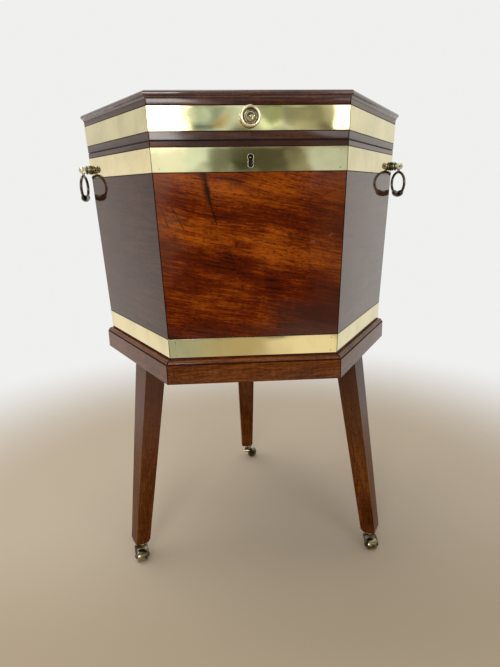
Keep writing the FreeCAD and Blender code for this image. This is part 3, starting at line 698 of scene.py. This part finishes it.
# ---- castors ------------------------------------------------------------------------
# Cast and turned brass, never cleaned: nearly black in the hollows, worn bright where the
# wheel rolls and the fork is knocked. The stem and its neck are given a much paler brass,
# a painted highlight that shines against the fork.


def old_brass(name, dark, bright, wear=(0.42, 0.62), rough=0.28, size=90.0, bump=0.00008):
    """Toned brass: a dark skin, with the metal showing where a noise says it is rubbed."""
    made = bpy.data.materials.new(name)
    tree = emptied(made)
    rubbed = noise(tree, own_place(tree), size, 4.0, 0.6)[0]
    worn = between(tree, rubbed, *wear)
    surfaced(tree, {"Base Color": blended(tree, worn, dark, bright), "Metallic": 1.0,
                    "Roughness": scaled(tree, worn, -0.12, rough),
                    "Normal": bumped(tree, rubbed, bump, 0.5)})
    return made


castor_brass = old_brass("castor_brass", (0.058, 0.044, 0.025), (0.34, 0.28, 0.17),
                         wear=(0.48, 0.72), bump=0.00003)
wheel_brass = old_brass("wheel_brass", (0.075, 0.058, 0.034), (0.36, 0.31, 0.20), bump=0.00003)
# Painted highlight: a much paler brass for the stems, so that they shine against the forks.
neck_highlight_brass = old_brass("neck_highlight_brass", (0.30, 0.23, 0.10), (0.72, 0.60, 0.32))
for leg in legs:
    smooth_node("castor_stem_" + leg, "stand", "castor_brass", neck_highlight_brass)
    smooth_node("castor_fork_" + leg, "castor_" + leg, "castor_brass", castor_brass, 0.0014,
                longer=0.001, steps=4)
    smooth_node("castor_axle_" + leg, "castor_" + leg, "castor_brass", castor_brass, 0.0004,
                longer=0.0)
    smooth_node("castor_wheel_" + leg, "wheel_" + leg, "castor_brass", wheel_brass)

# ---- case: sides, bottom and lining -------------------------------------------------
# Six tapering mahogany boards, mitred and glued, with figured wood on the front. Two
# centuries of French polish lie on them like glass. A bottom board is let in, and a tray of
# soft grey sheet metal lines the inside.
# Near-black painted shade for the gap at the lid's joint, the keyhole's walls and the lock seen
# through it.
painted_seam_shade = plain_polish("painted_seam_shade", (0.012, 0.007, 0.004), 0.5, 0.0)


def shaken(tree, place, scale, detail, by):
    """A place moved about by a noise, so that what is drawn there isn't ruled."""
    swayed = vectors(tree, "SUBTRACT", noise(tree, place, scale, detail)[1], (0.5, 0.5, 0.5))
    return vectors(tree, "ADD", place, vectors(tree, "SCALE", swayed, by=by))


def front_bands(tree, place, tone):
    """The front board's own figure, broad bands that run down to the right, and apart from
    it a dark strip above the rim band."""
    x, _, z = parts(tree, shaken(tree, place, 14.0, 3.0, 0.035))
    slope = between(tree, z, 0.62, 0.42, 0.14, 0.26)
    level = joined(tree, "ShaderNodeMapRange", {0: scaled(tree, x, slope, z), 1: 0.385,
                                                2: 0.635}).outputs[0]
    stops = ((0.0, 0.30), (0.10, 0.34), (0.18, 0.44), (0.24, 0.34), (0.30, 0.27), (0.37, 0.32),
             (0.41, 0.24), (0.45, 0.32), (0.49, 0.44), (0.53, 0.62), (0.59, 0.68), (0.65, 0.56),
             (0.69, 0.36), (0.74, 0.38), (0.80, 0.52), (0.88, 0.56), (1.0, 0.40))
    bands = ramped(tree, level, *((position, (grey, grey, grey)) for position, grey in stops))
    tone = sums(tree, "ADD", tone, sums(tree, "SUBTRACT", bands, 0.43))
    strip = between(tree, parts(tree, place)[2], 0.642, 0.646, 0.0, 0.35)
    return sums(tree, "SUBTRACT", tone, strip)


def near_line_tree():
    """Shader group: how near a point of the front board is to a line between two ends."""
    made, given = opened_tree("near_line", "ShaderNodeTree", "Float",
                              Vector=["Place", "Start", "End"], Float=["Width"])
    along = vectors(made, "SUBTRACT", given["End"], given["Start"])
    off = vectors(made, "MULTIPLY", given["Place"], (1, 0, 1))
    off = vectors(made, "SUBTRACT", off, given["Start"])
    share = sums(made, "DIVIDE", vectors(made, "DOT_PRODUCT", off, along),
                 vectors(made, "DOT_PRODUCT", along, along), clamp=True)
    gap = vectors(made, "DISTANCE", off, vectors(made, "SCALE", along, by=share))
    joined(made, "NodeGroupOutput", {0: between(made, gap, given["Width"], 0.0)})
    return made


near_line = near_line_tree()
seam_width = 0.0009
keyhole_half = 0.0046
keyhole_low, keyhole_high = 0.617, 0.638
keyhole_back = -0.2015
case_brass = [corner.z for band in ("rim_band", "base_band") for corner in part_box(band)]
joint_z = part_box("case_side_front")[1].z
# Heights of the case's dark dull lines, at the brass edges and the lid's joint: partly old polish
# and dirt, partly painted shade.
case_dirt_and_shade = case_brass + [joint_z]
# Old cracks, knocks and stains in the front board: ends (x, z), half width and depth of tone.
cracks = (
    ((-0.0590, 0.6150), (-0.0545, 0.5900), 0.0075, 0.80),
    ((-0.0540, 0.5960), (-0.0512, 0.5780), 0.0052, 0.80),
    ((-0.0565, 0.6125), (-0.0512, 0.5800), 0.0013, 0.9),
    ((-0.0512, 0.5800), (-0.0442, 0.5527), 0.0015, 0.95),
    ((-0.1165, 0.5815), (-0.1096, 0.5678), 0.0011, 0.9),
    ((-0.1096, 0.5678), (-0.1042, 0.5495), 0.0012, 0.9),
    ((-0.0986, 0.5748), (-0.0927, 0.5627), 0.0011, 0.85),
    ((-0.0927, 0.5627), (-0.0850, 0.5466), 0.0012, 0.85),
    ((-0.1060, 0.5576), (-0.0790, 0.5590), 0.0034, 0.60),
    ((-0.0440, 0.5445), (-0.0436, 0.5430), 0.0017, 0.5),
    ((-0.0204, 0.5272), (-0.0199, 0.5244), 0.0028, 0.9),
    ((0.0531, 0.5200), (0.0541, 0.5196), 0.0019, 0.75),
    ((-0.0128, 0.5874), (-0.0122, 0.5872), 0.0019, 0.75),
    ((-0.0152, 0.5390), (0.0330, 0.5241), 0.0009, 0.6),
    ((-0.0360, 0.6075), (-0.0140, 0.6030), 0.0065, 0.45),
    ((0.0480, 0.5360), (0.0640, 0.5330), 0.0055, 0.4),
    ((-0.0842, 0.5825), (-0.0735, 0.5830), 0.0008, 0.5),
    ((-0.0735, 0.5830), (-0.0648, 0.5779), 0.0008, 0.5),
    ((-0.0430, 0.4447), (-0.0424, 0.4445), 0.0018, 0.6),
)
# Two pale marks, painted glints where two dents catch the light: ends (x, z), half width and depth
# of tone.
dent_glints = (((0.0992, 0.5365), (0.1032, 0.5375), 0.0018, 0.5),
         ((0.0761, 0.5289), (0.0801, 0.5299), 0.0018, 0.5))


def front_marks_and_reflections(tree, true_place, colour):
    """Dark cracks and stains, two pale marks painted as the glints of two dents, painted
    reflection hazing the right end and the lower right, a dull dark strip along the top, and
    a paler patch at the lower left.
    """
    place = shaken(tree, true_place, 260.0, 2.0, 0.0024)
    for marks, mark_colour in ((cracks, (0.016, 0.006, 0.003)), (dent_glints, (0.26, 0.13, 0.10))):
        for start, end, width, depth in marks:
            line = joined(tree, "ShaderNodeGroup", {
                "Place": place, "Start": (start[0], 0, start[1]), "End": (end[0], 0, end[1]),
                "Width": width}, node_tree=near_line)
            colour = blended(tree, product(tree, line.outputs[0], depth), colour, mark_colour)
    x, _, z = parts(tree, true_place)
    blotch = noise(tree, true_place, 30.0, 3.0)[0]
    edge = sums(tree, "ADD", x, scaled(tree, blotch, 0.05, -0.025))
    # Painted reflection: the right end and the lower right are hazed grey brown, where the polish
    # mirrors the room and the lit floor.
    right = between(tree, edge, 0.055, 0.112, 0.0, 0.45)
    colour = blended(tree, right, colour, (0.090, 0.026, 0.011))
    low = product(tree, between(tree, edge, 0.00, 0.05), between(tree, z, 0.465, 0.435, 0.0, 0.65))
    colour = blended(tree, low, colour, (0.046, 0.018, 0.012))
    top = between(tree, z, 0.642, 0.645, 0.0, 0.8)
    colour = blended(tree, top, colour, (0.044, 0.019, 0.014))
    left = product(tree, between(tree, edge, -0.080, -0.115, 0.0, 0.50),
                   between(tree, z, 0.46, 0.54))
    return blended(tree, left, colour, (0.190, 0.066, 0.036))


front_mahogany = mahogany("front_mahogany", (0.022, 0.0022, 0.0005), (0.122, 0.0150, 0.0010),
                          (0.400, 0.088, 0.0045), streak=0.50, patch=0.90, gloss=1.31, fine=0.95,
                          long=14.0, thin=240.0, ripples=0.16, bands=front_bands,
                          marks_and_painted_light=front_marks_and_reflections, dirt_and_shade_at=case_dirt_and_shade)
case_mahogany = mahogany("case_mahogany", (0.024, 0.009, 0.005), (0.060, 0.022, 0.011),
                         (0.110, 0.042, 0.019), streak=0.8, patch=0.7, dirt_and_shade_at=case_dirt_and_shade,
                         gloss=1.29)
# A lighter, glossier copy of the case mahogany for the two right-hand sides: painted light and
# reflection of the room's bright right wall.
painted_lit_right_mahogany = mahogany("painted_lit_right_mahogany", (0.028, 0.013, 0.009), (0.092, 0.038, 0.025),
                          (0.150, 0.062, 0.034), streak=0.8, patch=0.7, dirt_and_shade_at=case_dirt_and_shade,
                          gloss=1.46)
case_finish = {"front": front_mahogany, "front_right": painted_lit_right_mahogany,
               "back_right": painted_lit_right_mahogany}
for number, (side, turn) in enumerate(sides.items()):
    node = "case_side_" + side
    shell = rejoined(node)
    # Painted shade: the chamfer at the lid's joint and the keyhole's walls take the near-black seam
    # shade.
    for face in shell.faces:
        middle = face.calc_center_median()
        at_joint = middle.z > joint_z - seam_width and 0.2 < face.normal.z < 0.98
        in_keyhole = (side == "front" and abs(middle.x) < keyhole_half
                      and keyhole_low < middle.z < keyhole_high
                      and middle.y < keyhole_back and abs(face.normal.y) < 0.5)
        if at_joint or in_keyhole:
            face.material_index = 1
    mesh = settled(shell, node, case_finish.get(side, case_mahogany), painted_seam_shade)
    grained(mesh, turn=turn, tip=(0, -11 if side == "front" else 0, 0), seed=(1.3 * number, 0, 0))
    kept(node, mesh, "case")
smooth_node("case_bottom", "case", "carcass_wood", raw_wood)

sheet_metal = bpy.data.materials.new("grey_sheet_metal")
tree = emptied(sheet_metal)
bloom = noise(tree, own_place(tree), 26.0, 6.0, 0.65)[0]
tone = blended(tree, between(tree, bloom, 0.35, 0.65), (0.20, 0.205, 0.21), (0.42, 0.42, 0.41))
surfaced(tree, {"Base Color": tone, "Metallic": 0.9, "Roughness": scaled(tree, bloom, 0.3, 0.38),
                "Normal": bumped(tree, bloom, 0.0006, 0.8)})
smooth_node("case_lining", "case", "lining_metal", sheet_metal, 0.0004, longer=0.02)

# ---- brass bands, pins and keyhole --------------------------------------------------
# Rolled brass strip let into the wood, mitred at the corners and pinned, then polished by
# hand, so that its face is never quite flat. The keyhole is lined with brass.
band_arris = 0.0003
pin_radius = 0.0009
pin_length = 0.009
pin_end_inset, pin_edge_inset = 0.009, 0.004


def band_brass(name, bright, toned, edges, rough=0.008, sway=0.00022):
    """Hand-polished brass: slow waves, a faint bloom of tarnish, fine rubbing marks, and
    dark dull lines along its edges and mitres: old polish in the mitres, and partly old
    polish, partly painted shade along the edges where the brass meets the wood."""
    made = bpy.data.materials.new(name)
    tree = emptied(made)
    where = own_place(tree)
    tarnish = noise(tree, where, 13.0, 5.0, 0.6)[0]
    skin = blended(tree, between(tree, tarnish, 0.38, 0.68), bright, toned)
    # Dark dull lines: old polish in the mitres, partly old polish and partly painted shade along
    # the edges.
    dirt_and_shade = sums(tree, "MAXIMUM", near_mitre(tree, where, 0.0009, 0.8),
                near_heights(tree, where, edges, 0.0007, 0.55))
    waves = noise(tree, mapped(tree, where, (17, 17, 26)), 1.0, 1.0)[0]
    rubbing = noise(tree, mapped(tree, where, (60, 60, 1800)), 1.0)[0]
    surfaced(tree, {"Base Color": blended(tree, dirt_and_shade, skin, (0.05, 0.04, 0.015)),
                    "Metallic": 1.0, "Roughness": scaled(tree, tarnish, 0.06, rough),
                    "Normal": bumped(tree, rubbing, 0.00001, 0.25,
                                     over=bumped(tree, waves, sway))})
    return made


bright_brass = band_brass("bright_brass", (0.83, 0.74, 0.43), (0.66, 0.60, 0.34),
                          case_brass + [corner.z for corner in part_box("lid_band")])
old_dirt = plain_polish("old_dirt", (0.060, 0.045, 0.020), 0.5, 0.0)


def on_mitre(face):
    """True for a face that lies in one of the six mitre planes."""
    turns = [math.degrees(math.atan2(vertex.co.y, vertex.co.x)) / 60 for vertex in face.verts]
    return all(abs(turn - round(turn)) < 2e-4 for turn in turns)


for name, body in (("lid_band", "lid"), ("rim_band", "case"), ("base_band", "case")):
    shell = rejoined(name)
    bmesh.ops.delete(shell, geom=[face for face in shell.faces if on_mitre(face)],
                     context="FACES")
    ease(shell, band_arris, sharp=70, longer=0.015)
    ease(shell, band_arris, sharp=50, longer=0.015, material=1,
         chosen=lambda edge: abs(edge.verts[0].co.z - edge.verts[1].co.z) > 0.02)
    kept(name, settled(shell, name, bright_brass, old_dirt), body)
pin_brass = old_brass("pin_brass", (0.34, 0.29, 0.16), (0.56, 0.49, 0.28), size=400.0, rough=0.18,
                      bump=0.000005)


def pin_rows_tree():
    """Geometry nodes: four flush pins near the ends of each strip, on all six sides."""
    made, given = opened_tree("pin_rows", Material=["Finish"], Float=[
        "Face", "Face height", "Taper", "Low", "High", "End inset", "Edge inset", "Pin radius",
        "Pin length"])
    spots = joined(made, "GeometryNodeMeshLine", {"Count": 24, "Offset": (0, 0, 0)}).outputs[0]
    which = joined(made, "GeometryNodeInputIndex").outputs[0]
    side = sums(made, "FLOOR", scaled(made, which, 0.25, 0.01))
    corner = scaled(made, side, -4.0, which)
    upper = sums(made, "GREATER_THAN", corner, 1.5)
    hand = scaled(made, scaled(made, upper, -2.0, corner), 2.0, -1.0)
    low = sums(made, "ADD", given["Low"], given["Edge inset"])
    high = sums(made, "SUBTRACT", given["High"], given["Edge inset"])
    z = scaled(made, upper, sums(made, "SUBTRACT", high, low), low)
    rise = sums(made, "SUBTRACT", z, given["Face height"])
    face = scaled(made, rise, given["Taper"], given["Face"])
    half = sums(made, "SUBTRACT", product(made, face, math.tan(half_angle)), given["End inset"])
    middle = sums(made, "SUBTRACT", product(made, given["Pin length"], 0.5), face)
    turn = product(made, side, math.pi / 3)
    spot = joined(made, "ShaderNodeVectorRotate", {
        "Vector": point(made, product(made, half, hand), middle, z), "Angle": turn},
        rotation_type="Z_AXIS").outputs[0]
    set_out = joined(made, "GeometryNodeSetPosition", {"Geometry": spots, "Position": spot})
    pin = joined(made, "GeometryNodeMeshCylinder", {
        "Vertices": 24, "Radius": given["Pin radius"], "Depth": given["Pin length"]}).outputs[0]
    lean = sums(made, "ADD", sums(made, "ARCTANGENT", given["Taper"]), math.pi / 2)
    placed = joined(made, "GeometryNodeInstanceOnPoints", {
        "Points": set_out.outputs[0], "Instance": moved(made, pin, Rotation=point(made, lean)),
        "Rotation": point(made, z=turn)})
    return closed_tree(made, given, placed.outputs[0])


pin_rows = pin_rows_tree()
pins = {}
for band in ("lid_band", "rim_band", "base_band"):
    low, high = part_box(band)
    pins[band] = grown(band + "_pins", bpy.data.meshes.new(band + "_pins"), pin_rows, {
        "Finish": pin_brass, "Face": high.y, "Face height": high.z, "Taper": taper,
        "Low": low.z, "High": high.z, "End inset": pin_end_inset, "Edge inset": pin_edge_inset,
        "Pin radius": pin_radius, "Pin length": pin_length})
mesh = together("case_band_pins", pin_brass, pins["rim_band"], pins["base_band"])
kept("case_band_pins", mesh, "case")
mesh = together("lid_band_pins", pin_brass, pins["lid_band"])
kept("lid_band_pins", mesh, "lid")
shell = rejoined("keyhole_escutcheon")
# Painted shade: the escutcheon's walls inside the keyhole take the near-black seam shade.
for face in shell.faces:
    if abs(face.normal.y) < 0.5:
        face.material_index = 1
ease(shell, 0.0002, sharp=50, longer=0.0)
mesh = settled(shell, "keyhole_escutcheon", pin_brass, painted_seam_shade)
kept("keyhole_escutcheon", mesh, "case")

# ---- lock ---------------------------------------------------------------------------
# A box lock let into the back of the front board: a folded and riveted brass case, a comb
# bolt that hooks sideways into the lid's two staples, and the pin that the key slides on.
lock_brass = old_brass("lock_brass", (0.30, 0.24, 0.11), (0.62, 0.52, 0.28), size=45.0, rough=0.36)
shell = rejoined("lock_case")
# Painted shade: the lock's front, seen through the keyhole, takes the near-black seam shade.
for face in shell.faces:
    if face.normal.y < -0.5:
        face.material_index = 1
ease(shell, 0.0002, longer=0.01)
kept("lock_case", settled(shell, "lock_case", lock_brass, painted_seam_shade), "case")
smooth_node("lock_bolt", "lock_bolt", "lock_brass", lock_brass, 0.0002)
smooth_node("lock_key_pin", "case", "dark_steel", steel)
lock_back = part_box("lock_case")[1].y
lock_screw_across = 0.038
lock_screw_heights = (0.6115, 0.6415)
leaf_y, leaf_z = 0.2015, 0.6514
leaf_gap = 0.0002
leaf_across = [middle + x for middle in (-0.065, 0.065) for x in (-0.016, 0.0, 0.016)]
leaf_screw = {"face_radius": 0.003, "head_radius": 0.0015, "head_depth": 0.0016,
              "shank_radius": 0.0015, "length": 0.015, "slot": 0.0008}
spots = [((x, lock_back, z), (0, -1, 0), 40 * x + 9 * z)
         for x in (-lock_screw_across, lock_screw_across) for z in lock_screw_heights]
lock_screws = driven_screws("lock_screws", spots, face_radius=0.0026, head_radius=0.0013,
                            head_depth=0.0011, shank_radius=0.0013, length=0.009, slot=0.0007)
spots = [((x, leaf_y, leaf_z), (0, 0, -1), 50 * x) for x in leaf_across]
leaf_screws = driven_screws("lower_leaf_screws", spots, **leaf_screw)
kept("case_screws", together("case_screws", steel, lock_screws, leaf_screws), "case")

# ---- ring handles -------------------------------------------------------------------
# Turned and cast brass on the two side corners: a boss with two thin collars and two ears,
# with a pin across them that the ring's eye hangs on. The ring swells to a grip at the bottom.
pivot_away, pivot_z = 0.2512, 0.627
ear_length = 0.0100
ring_sizes = {"Ring radius": 0.0172, "Wire radius": 0.0021, "Grip radius": 0.0046,
              "Drop": 0.0262, "Eye radius": 0.0044, "Eye width": 0.005}
handle_brass = old_brass("handle_brass", (0.065, 0.057, 0.043), (0.36, 0.32, 0.23),
                         wear=(0.46, 0.78), size=60.0, bump=0.00002)
boss_brass = old_brass("boss_brass", (0.115, 0.105, 0.066), (0.34, 0.31, 0.21), wear=(0.40, 0.70),
                       size=70.0, bump=0.00002)
ear_brass = old_brass("ear_brass", (0.42, 0.37, 0.24), (0.86, 0.79, 0.58), wear=(0.30, 0.55),
                      rough=0.30, size=120.0, bump=0.00002)
for hand in ("right", "left"):
    node = "handle_post_" + hand
    shell = rejoined(node)
    reach = max(abs(vertex.co.x) for vertex in shell.verts)
    for face in shell.faces:
        if min(abs(vertex.co.x) for vertex in face.verts) > reach - ear_length:
            face.material_index = 1
    ease(shell, 0.0003, longer=0.001)
    kept(node, settled(shell, node, boss_brass, ear_brass), "case")
smooth_node("handle_pins", "case", "handle_brass", handle_brass, 0.0003, longer=0.0)
smooth_node("handle_nuts", "case", "handle_brass", handle_brass)


def hung_ring_tree():
    """Geometry nodes: a wire bent to a ring, swelling to a grip at the bottom, with the neck
    and the eye that it hangs from. The pivot is at "Place"."""
    made, given = opened_tree("hung_ring", Material=["Finish"], Vector=["Place"], Float=[
        "Ring radius", "Wire radius", "Grip radius", "Drop", "Eye radius", "Eye width", "Twist",
        "Turn"])
    circle = joined(made, "GeometryNodeCurvePrimitiveCircle", {
        "Resolution": 120, "Radius": given["Ring radius"]}, mode="RADIUS").outputs[0]
    along = joined(made, "GeometryNodeSplineParameter").outputs["Factor"]
    from_low = product(made, sums(made, "PINGPONG", along, 0.5), 360.0)
    swell = between(made, from_low, 27.0, 52.0, given["Grip radius"], given["Wire radius"])
    profile = joined(made, "GeometryNodeCurvePrimitiveCircle", {"Resolution": 24, "Radius": 1.0},
                     mode="RADIUS").outputs[0]
    hoop = joined(made, "GeometryNodeCurveToMesh", {
        "Curve": circle, "Profile Curve": profile, "Scale": swell}).outputs[0]
    hoop = moved(made, hoop, Rotation=(0, math.pi / 2, 0),
                 Translation=point(made, z=product(made, given["Drop"], -1.0)))
    hoop = moved(made, hoop, Rotation=point(made, z=given["Twist"]))
    span = sums(made, "SUBTRACT", given["Drop"], given["Ring radius"])
    neck = joined(made, "GeometryNodeMeshCylinder", {
        "Vertices": 24, "Radius": given["Wire radius"], "Depth": span}).outputs[0]
    neck = moved(made, neck, Translation=point(made, z=product(made, span, -0.5)))
    eye = joined(made, "GeometryNodeMeshCylinder", {
        "Vertices": 40, "Radius": given["Eye radius"], "Depth": given["Eye width"]}).outputs[0]
    eye = moved(made, eye, Rotation=(math.pi / 2, 0, 0))
    hung = moved(made, merged(made, hoop, neck, eye), Translation=given["Place"],
                 Rotation=point(made, z=given["Turn"]))
    return closed_tree(made, given, hung)


hung_ring = hung_ring_tree()
for hand, away, twist, turn in (("right", pivot_away, 17.0, 0.0),
                                ("left", -pivot_away, -3.5, 180.0)):
    node = "handle_ring_" + hand
    mesh = grown(node, bpy.data.meshes.new("ring_draft"), hung_ring, {
        **ring_sizes, "Twist": math.radians(twist), "Turn": math.radians(turn),
        "Place": (away, 0, pivot_z), "Finish": handle_brass})
    kept(node, together(node, handle_brass, mesh), "ring_" + hand)

# ---- hinges -------------------------------------------------------------------------
# Two brass butts at the back, their leaves let into the case and the lid, each held by
# three countersunk screws, with a steel pin through five knuckles.
smooth_node("hinge_case_leaves", "case", "lock_brass", lock_brass)
smooth_node("hinge_lid_leaves", "lid", "lock_brass", lock_brass)
smooth_node("hinge_pins", "case", "dark_steel", steel)

# ---- lid ----------------------------------------------------------------------------
# One flat mahogany board with a rounded nose over a cove, on a mitred frieze of six
# lengths. The link plate with its two staples is let in under the front length.
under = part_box("lid_side_front")[0].z
plate_screw_across, plate_screw_y = 0.029, -0.198
# Heights of the lid's dark dull lines, at the band edges and the joint: partly old polish and dirt,
# partly painted shade.
lid_dirt_and_shade = [corner.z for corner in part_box("lid_band")] + [under]
lid_mahogany = mahogany("lid_mahogany", (0.022, 0.008, 0.004), (0.056, 0.020, 0.011),
                        (0.110, 0.040, 0.019), streak=0.8, patch=0.8, dirt_and_shade_at=lid_dirt_and_shade, gloss=1.31)
frieze_mahogany = mahogany("frieze_mahogany", (0.020, 0.004, 0.0018), (0.060, 0.013, 0.005),
                           (0.130, 0.036, 0.010), streak=0.8, patch=0.8, gloss=1.49, polish=0.10,
                           dirt_and_shade_at=lid_dirt_and_shade)
# A lighter, glossier copy of the lid mahogany for the two right-hand sides: painted light and
# reflection of the room's bright right wall.
painted_lit_lid_right_mahogany = mahogany("painted_lit_lid_right_mahogany", (0.026, 0.012, 0.008), (0.080, 0.034, 0.022),
                              (0.140, 0.058, 0.032), streak=0.8, patch=0.8, gloss=1.40,
                              dirt_and_shade_at=lid_dirt_and_shade)
lid_finish = {"front": frieze_mahogany, "front_right": painted_lit_lid_right_mahogany,
              "back_right": painted_lit_lid_right_mahogany}
board_mahogany = mahogany("board_mahogany", (0.026, 0.009, 0.006), (0.072, 0.027, 0.018),
                          (0.150, 0.056, 0.032), gloss=1.6, mitre=0.0, streak=0.8)


def moulded_board(section):
    """A six-sided board from (apothem, height) points, lowest first, with a flat back."""
    shell = bmesh.new()
    loops = []
    for apothem, z in section:
        corner = apothem / math.cos(half_angle)
        loops.append([shell.verts.new((corner * math.cos(math.radians(60 * index)),
                                       corner * math.sin(math.radians(60 * index)), z))
                      for index in range(6)])
    for low, high in zip(loops, loops[1:]):
        for index in range(6):
            after = (index + 1) % 6
            shell.faces.new((low[index], low[after], high[after], high[index]))
    shell.faces.new(loops[0][::-1])
    shell.faces.new(loops[-1])
    return shell


board_low, board_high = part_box("lid_board")
edge = board_high.y
cove_across, cove_high = 0.0020, 0.0036
nose = 0.00386
nose_middle = board_high.z - 0.00373
section = [(edge - 0.0030, board_low.z)]
for index in range(1, 7):
    angle = math.radians(180 - 15 * index)
    section.append((edge - 0.0010 + cove_across * math.cos(angle),
                    board_low.z + cove_high * math.sin(angle)))
for index in range(9):
    angle = math.radians(-20.8 + 95.6 * index / 8)
    section.append((edge - nose + nose * math.cos(angle), nose_middle + nose * math.sin(angle)))
section[-1] = (section[-1][0], board_high.z)
mesh = settled(moulded_board(section), "lid_board", board_mahogany)
grained(mesh, seed=(8.0, 1.0, 0.3))
kept("lid_board", mesh, "lid")
for number, (side, turn) in enumerate(sides.items()):
    node = "lid_side_" + side
    shell = rejoined(node)
    # Painted shade: the chamfer under the lid, at its joint, takes the near-black seam shade.
    for face in shell.faces:
        if face.calc_center_median().z < under + seam_width and -0.98 < face.normal.z < -0.2:
            face.material_index = 1
    mesh = settled(shell, node, lid_finish.get(side, lid_mahogany), painted_seam_shade)
    grained(mesh, turn=turn, seed=(5 + 1.3 * number, 0, 0.2))
    kept(node, mesh, "lid")
smooth_node("link_plate", "lid", "lock_brass", lock_brass, 0.0002)
spots = [((x, leaf_y, leaf_z + leaf_gap), (0, 0, 1), 70 * x) for x in leaf_across]
leaf_screws = driven_screws("upper_leaf_screws", spots, **leaf_screw)
spots = [((x, plate_screw_y, under), (0, 0, 1), 30 * x)
         for x in (-plate_screw_across, plate_screw_across)]
plate_screw = {**leaf_screw, "head_depth": 0.0014, "length": 0.014}
plate_screws = driven_screws("link_plate_screws", spots, **plate_screw)
kept("lid_screws", together("lid_screws", steel, leaf_screws, plate_screws), "lid")

# ---- knob ---------------------------------------------------------------------------
# Turned brass, screwed into the lid: a rolled bright rim round a dished face with rings,
# where the polish never reaches.
knob_brass = old_brass("knob_brass", (0.44, 0.39, 0.24), (0.72, 0.65, 0.43), wear=(0.30, 0.55),
                       rough=0.24, bump=0.000003)
toned_brass = old_brass("toned_brass", (0.070, 0.058, 0.030), (0.20, 0.17, 0.09), rough=0.34,
                        bump=0.000005)
shell = rejoined("lid_knob")
knob_low, knob_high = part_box("lid_knob")
axis_z = 0.5 * (knob_low.z + knob_high.z)
# How far out each ring of the face reaches, and its finish: 0 bright, 1 toned.
rings = ((0.0014, 0), (0.0041, 1), (0.0055, 0), (0.0090, 1))
face_depth = 0.008
for face in shell.faces:
    if face.normal.y > -0.1 or face.calc_center_median().y > knob_low.y + face_depth:
        continue
    radius = max(math.hypot(vertex.co.x, vertex.co.z - axis_z) for vertex in face.verts)
    face.material_index = next((finish for reach, finish in rings if radius < reach), 0)
kept("lid_knob", settled(shell, "lid_knob", knob_brass, toned_brass), "lid")
